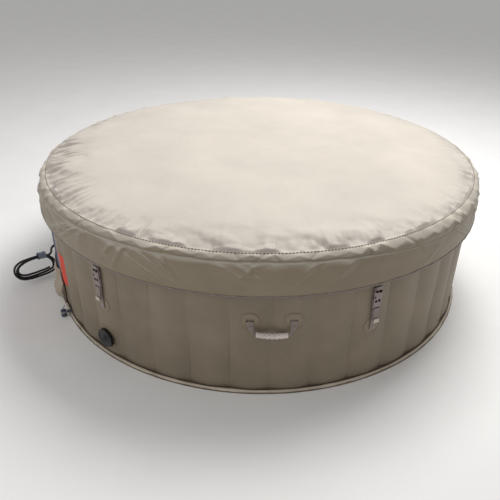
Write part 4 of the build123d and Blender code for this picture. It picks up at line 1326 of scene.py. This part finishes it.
def drain_cap():
    verts, faces = lathe(CAP, 144)
    angle = np.arctan2(verts[:, 2], verts[:, 0])
    fluted = (np.hypot(verts[:, 0], verts[:, 2]) > 0.0432) & (verts[:, 1] > -1.0625)
    scale = np.where(fluted, 1 - 0.018 * (np.cos(angle * 36) * 0.5 + 0.5) ** 2, 1.0)
    verts[:, 0] *= scale
    verts[:, 2] = verts[:, 2] * scale + DRAIN_Z
    bag = Bag()
    bag.add((verts, faces))
    for wing in (20, 110, 200, 290):     # four low ribs running out from the boss
        cos, sin = math.cos(math.radians(wing)), math.sin(math.radians(wing))
        reach = np.linspace(0.0112, 0.0190, 10)
        out = 1.0652 - 0.0010 * (reach - 0.0112) / 0.0078
        path = np.stack([reach * cos, -out, DRAIN_Z + reach * sin], -1)
        bag.add(tube(path, np.linspace(0.0013, 0.0007, 10), 8))
    bag.spun(DRAIN_AZ).make("drain_cap_moulding", MATS["blackgloss"], "drain_cap", "drain_cap")
    ring = Bag()
    ring.add(lathe(WELD_RING, 96, DRAIN_Z, close=True), lay_on_wall, DRAIN_AZ)
    ring.make("drain_weld_ring", MATS["patch"], "tub")


drain_cap()

# ---------------------------------------------------------------- hard parts
# these keep their CAD form with eased edges: node -> (material, bevel width)
HARD_PARTS = {
    "buckle_plugs": ("buckle", 0.0007), "buckle_sockets": ("buckle", 0.0009),
    "drain_body": ("patch", 0.0006), "drain_gasket": ("black", 0.0005),
    "air_valve_body": ("black", 0.0006), "air_valve_cap": ("blackgloss", 0.0008),
    "unit_rear_shell": ("unit", 0.0015), "unit_front_shell": ("unit", 0.0018),
    "unit_screws": ("steel", 0.0003), "control_fascia": ("blackgloss", 0.0012),
    "display_lens": ("lens", 0.0006), "cable_gland": ("black", 0.0006),
    "button_heat": ("pale", 0.0006), "button_filter": ("pale", 0.0006),
    "button_bubble": ("pale", 0.0006), "button_up": ("pale", 0.0006),
    "button_down": ("pale", 0.0006), "pump_motor": ("motor", 0.0008),
    "pump_volute": ("black", 0.0008), "pump_impeller": ("pale", 0.0003),
    "heater_tube": ("steel", 0.0005), "blower_motor": ("motor", 0.0008),
    "blower_housing": ("black", 0.0008), "blower_fan": ("pale", 0.0003),
    "control_board": ("board", 0.0003), "water_ports": ("pale", 0.0006),
    "water_hoses": ("black", 0.0), "air_hose": ("pale", 0.0), "flap_toggle": ("toggle", 0.0018),
    "filter_base": ("pale", 0.0006), "filter_cap": ("pale", 0.0006),
    "filter_cartridge": ("paper", 0.0004), "nozzle_eyeball": ("pale", 0.0),
    "bubble_duct": ("inner", 0.002), "wall_webs": ("inner", 0.0), "base_sheet": ("wall", 0.0004),
    "bay_liner": ("liner", 0.0015),
}


def ease_edges(node, material, width):
    piece = bpy.data.objects[node]
    piece.data.materials.clear()
    piece.data.materials.append(material)
    for polygon in piece.data.polygons:
        polygon.use_smooth = True
    piece.modifiers.new("weld", "WELD").merge_threshold = 0.00002
    if width:
        bevel = piece.modifiers.new("bevel", "BEVEL")
        bevel.width = width
        bevel.segments = 2
        bevel.limit_method = "ANGLE"
        bevel.angle_limit = math.radians(30)
        bevel.use_clamp_overlap = True
        bevel.harden_normals = False
    normals = piece.modifiers.new("normals", "WEIGHTED_NORMAL")
    normals.keep_sharp = True
    normals.weight = 60


for part_name, (kind, bevel_width) in HARD_PARTS.items():
    ease_edges(part_name, MATS[kind], bevel_width)

# painted shadows: dark boxes laid on the face of each buckle where its slots show shade: (x0, x1, z0,
# z1)
SLOT_SHADOW_BOXES = ((-0.0125, -0.0020, 0.4300, 0.4380), (0.0025, 0.0125, 0.4280, 0.4395),
            (-0.0160, -0.0110, 0.4060, 0.4150), (-0.0120, -0.0035, 0.3860, 0.3965),
            (0.0020, 0.0110, 0.3870, 0.3985), (-0.0130, 0.0130, 0.3596, 0.3616))


def buckle_slot_shadows():
    bag = Bag()
    for azimuth in BUCKLES:
        for x0, x1, z0, z1 in SLOT_SHADOW_BOXES:
            # dark box on the buckle face: painted shadow of a slot
            bag.add(box(x0, x1, -1.0576, -1.0566, z0, z1), spin, azimuth)
    bag.make("buckle_slot_shadows", MATS["dark"], "cover", smooth=False)


buckle_slot_shadows()

# ================================================================ supply cable
GLAND_AZ = -78.0
# the coil hangs in an upright plane whose plan line runs from COIL_START along COIL_DIR
COIL_START = np.array([-1.2481, -0.2653])
COIL_DIR = np.array([-1.0769, -0.1322]) - COIL_START
COIL_DIR = COIL_DIR / np.linalg.norm(COIL_DIR)
# one turn of the coil in that plane: (along, height)
COIL_TURN = [(0.1815, 0.1168), (0.1522, 0.1315), (0.1055, 0.1352), (0.0634, 0.1315),
             (0.0275, 0.1178), (0.0099, 0.0938), (0.0133, 0.0649), (0.0397, 0.0423),
             (0.0801, 0.0350), (0.1225, 0.0339), (0.1660, 0.0355), (0.1940, 0.0440),
             (0.2030, 0.0640), (0.1990, 0.0920)]
TURN_STEPS = 1400
TURN_PATH = smooth_path(COIL_TURN, TURN_STEPS, closed=True)


def coil_space(along, aside, z):
    """Point in the tub's frame from a place along and beside the coil's plane."""
    x, y = COIL_START + COIL_DIR * along + np.array([-COIL_DIR[1], COIL_DIR[0]]) * aside
    return np.array([x, y, z])


def turn_at(turns):
    """Place on the turn, and its direction there."""
    at = (turns % 1.0) * TURN_STEPS
    i = int(at) % TURN_STEPS
    part = at - int(at)
    place = TURN_PATH[i] * (1 - part) + TURN_PATH[(i + 1) % TURN_STEPS] * part
    heading = TURN_PATH[(i + 6) % TURN_STEPS] - TURN_PATH[i - 6]
    return place, heading / np.linalg.norm(heading)


def coil_point(turns):
    """Point of the bundle; the first turn arches clear above the rest near 0.3 turns."""
    place, heading = turn_at(turns)
    arch = 0.0120 * math.exp(-((turns - 0.30) / 0.085) ** 2)
    off = 0.0081 * (1.35 - turns) + arch + 0.0009 * math.sin(9 * turns + 0.6)
    aside = 0.0083 * (turns - 1.35) + 0.0012 * math.sin(7.3 * turns)
    return coil_space(place[0] + off * heading[1], aside, place[1] - off * heading[0])


def supply_cable():
    """Nearly three turns of flex from the gland, and the ribbed sleeve where it leaves."""
    points = [polar(GLAND_AZ, r, z) for r, z in ((1.050, 0.222), (1.058, 0.222), (1.066, 0.221))]
    points += [coil_space(0.180, -0.080, 0.208), coil_space(0.183, -0.056, 0.184),
               coil_space(0.186, -0.034, 0.158)]
    points += [coil_point(0.03 + i * 2.72 / 59) for i in range(60)]
    bag = Bag()
    bag.add(tube(smooth_path(points, 700), 0.0054, 16))
    bag.make("supply_cable", MATS["cable"], "tub", "power_cable")
    ribs = Bag()
    for i in range(6):
        near, outer, inner = 1.0662 + 0.0018 * i, 0.0078 - 0.0004 * i, 0.0050
        far = near + 0.0010
        ribs.add(lathe([(inner, near), (outer, near), (outer, far), (inner, far)], 28,
                       0.2208 - 0.0010 * i, close=True))
    ribs.spun(GLAND_AZ).make("strain_relief", MATS["black"], "tub")


def cable_tie():
    """Ribbed cloth sleeve round the top of the bundle."""
    place, heading = turn_at(0.10)
    axis = np.array([COIL_DIR[0] * heading[0], COIL_DIR[1] * heading[0], heading[1]])
    up = np.array([COIL_DIR[0] * heading[1], COIL_DIR[1] * heading[1], -heading[0]])
    aside = np.cross(up, axis)
    centre = coil_space(place[0] + 0.010, 0.0, place[1]) + up * 0.0040
    rows, sides, half = 110, 72, 0.0200
    along = np.linspace(-half, half, rows)
    angle = np.linspace(0, TAU, sides, endpoint=False)
    rib = 0.0008 * np.abs(np.sin(along * math.pi / 0.0044)) - 0.0014 * (np.abs(along) > 0.0194)
    flare = 1 - 0.08 * np.cos(along / half * math.pi * 0.5)
    wide, high = squarish(np.cos(angle), 0.75), squarish(np.sin(angle), 0.75)

    def ring(i, off):
        wave = 0.0005 * np.sin(3 * angle + i * 0.1)
        return (centre + axis * along[i] + aside[None] * ((0.0170 * flare[i] + off) * wide)[:, None]
                + up[None] * ((0.0172 * flare[i] + off + wave) * high)[:, None])

    rings = [ring(i, rib[i]) for i in range(rows)]
    rings += [ring(i, -0.0011) for i in reversed(range(rows))]
    uv = np.stack(np.broadcast_arrays(np.concatenate([along, along[::-1]])[:, None],
                                      (angle * 0.016)[None]), -1).reshape(-1, 2)
    bag = Bag()
    bag.add((np.concatenate(rings), tube_faces(2 * rows, sides, close=True), uv))
    bag.make("cable_tie_wrap", MATS["tie"], "tub", "cable_tie")


supply_cable()
cable_tie()


# ================================================================ bay flap
def bay_flap():
    """Padded flap over the lower bay, full at both ends, with a bound and stitched edge."""
    cols, rows = 220, 64
    bottom, top = 0.0145, 0.1895
    side, rise = np.meshgrid(np.linspace(-24.0, 24.0, cols), np.linspace(0, 1, rows))
    off = np.abs(side)                    # azimuth from the bay's middle
    ends = ease(off, 16.4, 17.8) * (1 - ease(off, 22.6, 24.0) * 0.92)
    middle = 1 - ends
    back = 1.0608 - 0.0142 * ease(off, 16.7, 17.5)
    swell = np.sin(np.clip(rise, 0, 1) * math.pi) ** 0.62
    z = bottom + (top - 0.064 * ease(off, 14.5, 18.5) - bottom) * rise
    padding = 0.0100 + (0.0030 + 0.0255 * bell(z - 0.064, 0.034)) * ends
    arc = np.radians(side) * 1.07
    # folds run slantwise down the full ends, shallower across the middle
    slant = (arc * 1.5 - z * 0.9 * np.sign(side)) * math.pi / 0.030
    slant = np.abs(np.sin(slant + 0.7 * np.sin(z * 40)))
    crumple = wave_sum(waves(26, 22.0, 110.0, seed=91, slope=0.7), arc, z)
    level = np.sin(z * TAU / 0.052 + 1.4 * np.sin(arc * 9) + arc * 11)
    fold = (swell * (0.0030 + 0.0040 * ends) * -0.9 * (slant - 0.6) + 0.0017 * crumple * swell
            + 0.0024 * level * swell * middle)
    tuft = bell((((side + 24) / 6.0 + 0.5) % 1 - 0.5) * 6.0, 0.45)     # upright quilting lines
    radius = back + 0.0022 + padding * swell + fold - 0.0022 * tuft * swell * middle
    droop = 0.0034 * np.sin(np.radians(side) * 34) * rise ** 2 * swell
    outer = polar(BAY_AZ + side, radius, z + droop)
    uv = np.stack([arc, z], -1).reshape(-1, 2)
    flap = slab("bay_flap_cloth", outer, polar(BAY_AZ + side, back, z), MATS["flap"],
                np.concatenate([uv, uv]))
    fit(flap, "tub", "bay_flap")
    edge = np.concatenate([outer[0], outer[1:, -1], outer[-1, ::-1][1:], outer[::-1, 0][1:-1]])
    fit(build("flap_binding", *tube(edge, 0.0026, 8, closed=True, radius_2=0.0018),
              MATS["binding"]), "tub")
    thread = Bag()
    for row in (5, 58):
        thread.add(stitch_run(outer[row, ::2] * np.array([1.0006, 1.0006, 1.0]), 0.0050, 0.0005))
    thread.make("flap_stitches", MATS["thread_pale"], "tub")


def toggle_trim():
    """Clip round the flap's toggle, and the cord that draws the flap to it."""
    clip = Bag()
    hoop = [(0.0134 * math.cos(angle), -1.081 + 0.0134 * math.sin(angle), 0.0262)
            for angle in np.linspace(0, TAU, 56, endpoint=False)]
    clip.add(tube(hoop, 0.0022, 8, closed=True, radius_2=0.0011))
    arm = smooth_path([(0.0, -1.0925, 0.0300), (0.0, -1.0952, 0.0262), (0.0, -1.0946, 0.0180),
                       (0.0, -1.0900, 0.0120)], 20)
    clip.add(tube(arm, 0.0012, 8, radius_2=0.0036))
    stud = [(0.0030, 1.0936), (0.0034, 1.0950), (0.0030, 1.0964), (0.0004, 1.0970)]
    clip.add(lathe(stud, 20, 0.0225))
    clip.spun(-61.5).make("toggle_clip", MATS["pale"], "tub")
    cord = Bag()
    path = smooth_path([(0.0, -1.0690, 0.0560), (0.003, -1.0760, 0.0480),
                        (0.004, -1.0800, 0.0400), (0.0, -1.0810, 0.0330)], 24)
    cord.add(tube(path, 0.0021, 8))
    cord.spun(-61.8).make("flap_draw_cord", MATS["tie"], "tub")


bay_flap()
toggle_trim()


# ================================================================ red panel beside the bay
def side_panel():
    """Blank red panel with rounded corners, lying on the wall."""
    start, end, bottom, top = -71.3, -62.9, 0.132, 0.294
    cols, rows, corner = 30, 48, 0.012
    metres = 0.0182                        # along the wall per degree
    outer = np.empty((rows, cols, 3))
    for i, height in enumerate(np.linspace(bottom, top, rows)):
        for j, azimuth in enumerate(np.linspace(start, end, cols)):
            side = min((azimuth - start) * metres, (end - azimuth) * metres)
            edge = min(height - bottom, top - height)
            cut = 0.0
            if side < corner and edge < corner:
                cut = max(0.0, math.hypot(corner - side, corner - edge) - corner)
            z = height + (cut if height - bottom < top - height else -cut)
            x, y = math.sin(math.radians(azimuth)), -math.cos(math.radians(azimuth))
            radius = wall_radius(x, y, z) + 0.0008 + 0.0003 * math.sin(height * 90 + azimuth * 3)
            outer[i, j] = radius * x, radius * y, z
    inner = outer.copy()
    radius = np.hypot(outer[..., 0], outer[..., 1])
    inner[..., :2] *= ((radius - 0.0014) / radius)[..., None]
    fit(slab("blank_side_panel", outer, inner, MATS["red"]), "tub")


side_panel()


# ================================================================ bay surround and unit face
def bay_welt():
    up = np.linspace(BAY_Z0, BAY_Z1, 60)
    across = np.linspace(-BAY_HALF, BAY_HALF, 120)
    loop = [(-BAY_HALF, z) for z in up] + [(side, BAY_Z1) for side in across[1:]]
    loop += [(BAY_HALF, z) for z in up[::-1][1:]] + [(side, BAY_Z0) for side in across[::-1][1:-1]]
    side, z = np.array(loop).T
    bag = Bag()
    bag.add(tube(polar(BAY_AZ + side, 1.0405, z), 0.0062, 12, closed=True, radius_2=0.0050))
    bag.make("bay_welt", MATS["flap"], "tub")


# readout bars: (x side, z level, lies level)
SEGMENTS = {"a": (0, 1, 1), "b": (1, 0.5, 0), "c": (1, -0.5, 0), "d": (0, -1, 1),
            "e": (-1, -0.5, 0), "f": (-1, 0.5, 0), "g": (0, 0, 1)}


def readout():
    """Two figures, 3 and 8, drawn bar by bar."""
    bag = Bag()
    for i, bars in enumerate(("abgcd", "abcdefg")):
        for bar in bars:
            side, level, lies = SEGMENTS[bar]
            half_x, half_z = (0.0046, 0.0011) if lies else (0.0011, 0.0046)
            x, z = -0.0115 + 0.023 * i + side * 0.0062, 0.388 + level * 0.0114
            bag.add(box(x - half_x, x + half_x, -1.0574, -1.0570, z - half_z, z + half_z))
    bag.spun(BAY_AZ).make("readout_figures", MATS["led"], "tub", smooth=False)


def button_rings():
    ring = [(0.0104, 1.0568), (0.0104, 1.0578), (0.0112, 1.0581), (0.0120, 1.0578),
            (0.0120, 1.0566)]               # (radius, distance out)
    bag = Bag()
    for side in (-4.1, -2.05, 0, 2.05, 4.1):
        bag.add(lathe(ring, 36, 0.340, close=True), spin, BAY_AZ + side)
    bag.make("button_rings", MATS["steel"], "tub")


def unit_face_ribs():
    bag = Bag()
    for z in (0.060, 0.205, 0.218, 0.231, 0.438):
        side = np.linspace(-14.0, 9.5, 80) if 0.2 < z < 0.24 else np.linspace(-15.9, 15.9, 90)
        bag.add(tube(polar(BAY_AZ + side, 1.0562, z), 0.0011, 8, radius_2=0.0016))
    bag.make("unit_face_ribs", MATS["unit"], "tub")


def unit_side_seals():
    bag = Bag()
    for side in (-17.2, 17.2):
        path = polar(BAY_AZ + side, 1.0440, np.linspace(0.046, 0.452, 80))
        bag.add(tube(path, 0.0040, 10, radius_2=0.0060))
    bag.make("unit_side_seals", MATS["unit"], "tub")


bay_welt()
readout()
button_rings()
unit_face_ribs()
unit_side_seals()


# ================================================================ camera and studio
def add_camera():
    """From the front and above, turned a little round the tub."""
    data = bpy.data.cameras.new("camera")
    data.lens = 38.95
    data.sensor_width = 36.0
    data.clip_end = 100
    camera = bpy.data.objects.new("camera", data)
    bpy.context.scene.collection.objects.link(camera)
    right, up, ahead, eye = spin([(0.99976429, 0.02034109, 0.00758969),
                                  (-0.01677038, 0.50152052, 0.86498319),
                                  (-0.01378831, 0.86490659, -0.50174343),
                                  (0.0, -2.635, 1.581)], -3.2)
    rows = np.column_stack([right, up, -ahead, eye]).tolist()
    camera.matrix_world = Matrix(rows + [[0, 0, 0, 1]])
    bpy.context.scene.camera = camera


def studio_floor():
    m = Shader("studio_floor", rough=0.9, specular=0.1)
    m.colour(m.ramp(m.noise(3.0, detail=3), 0.3, 0.7, (0.90, 0.90, 0.90, 1),
                    (0.93, 0.93, 0.93, 1)))
    half, z = 40.0, -0.0005
    corners = [(-half, -half, z), (half, -half, z), (half, half, z), (-half, half, z)]
    build("studio_floor", corners, [[0, 1, 2, 3]], m.material)


def studio_world():
    # the scene may come with a world, and the world with a background node
    world = bpy.data.worlds[0] if bpy.data.worlds else bpy.data.worlds.new("studio")
    bpy.context.scene.world = world
    world.use_nodes = True
    nodes = world.node_tree.nodes
    background = nodes.get("Background") or nodes.new("ShaderNodeBackground")
    background.inputs["Color"].default_value = (1.0, 0.99, 0.98, 1)
    background.inputs["Strength"].default_value = 0.42


def area_light(name, location, aim, size, power, colour):
    data = bpy.data.lights.new(name, "AREA")
    data.shape = "RECTANGLE"
    data.size = data.size_y = size
    data.energy = power
    data.color = colour
    light = bpy.data.objects.new(name, data)
    bpy.context.scene.collection.objects.link(light)
    light.location = location
    light.rotation_euler = (Vector(aim) - Vector(location)).to_track_quat("-Z", "Y").to_euler()


add_camera()
studio_floor()
studio_world()
area_light("key_top", location=(1.2, 1.1, 4.0), aim=(0, 0, 0.5), size=2.2, power=152,
           colour=(1.0, 0.985, 0.96))
area_light("fill_left", location=(-3.2, -2.0, 2.2), aim=(0, 0, 0.35), size=2.0, power=18,
           colour=(1.0, 0.99, 0.98))

view = bpy.context.scene.view_settings
view.view_transform = "Standard"
view.look = "None"
view.exposure = 0.0
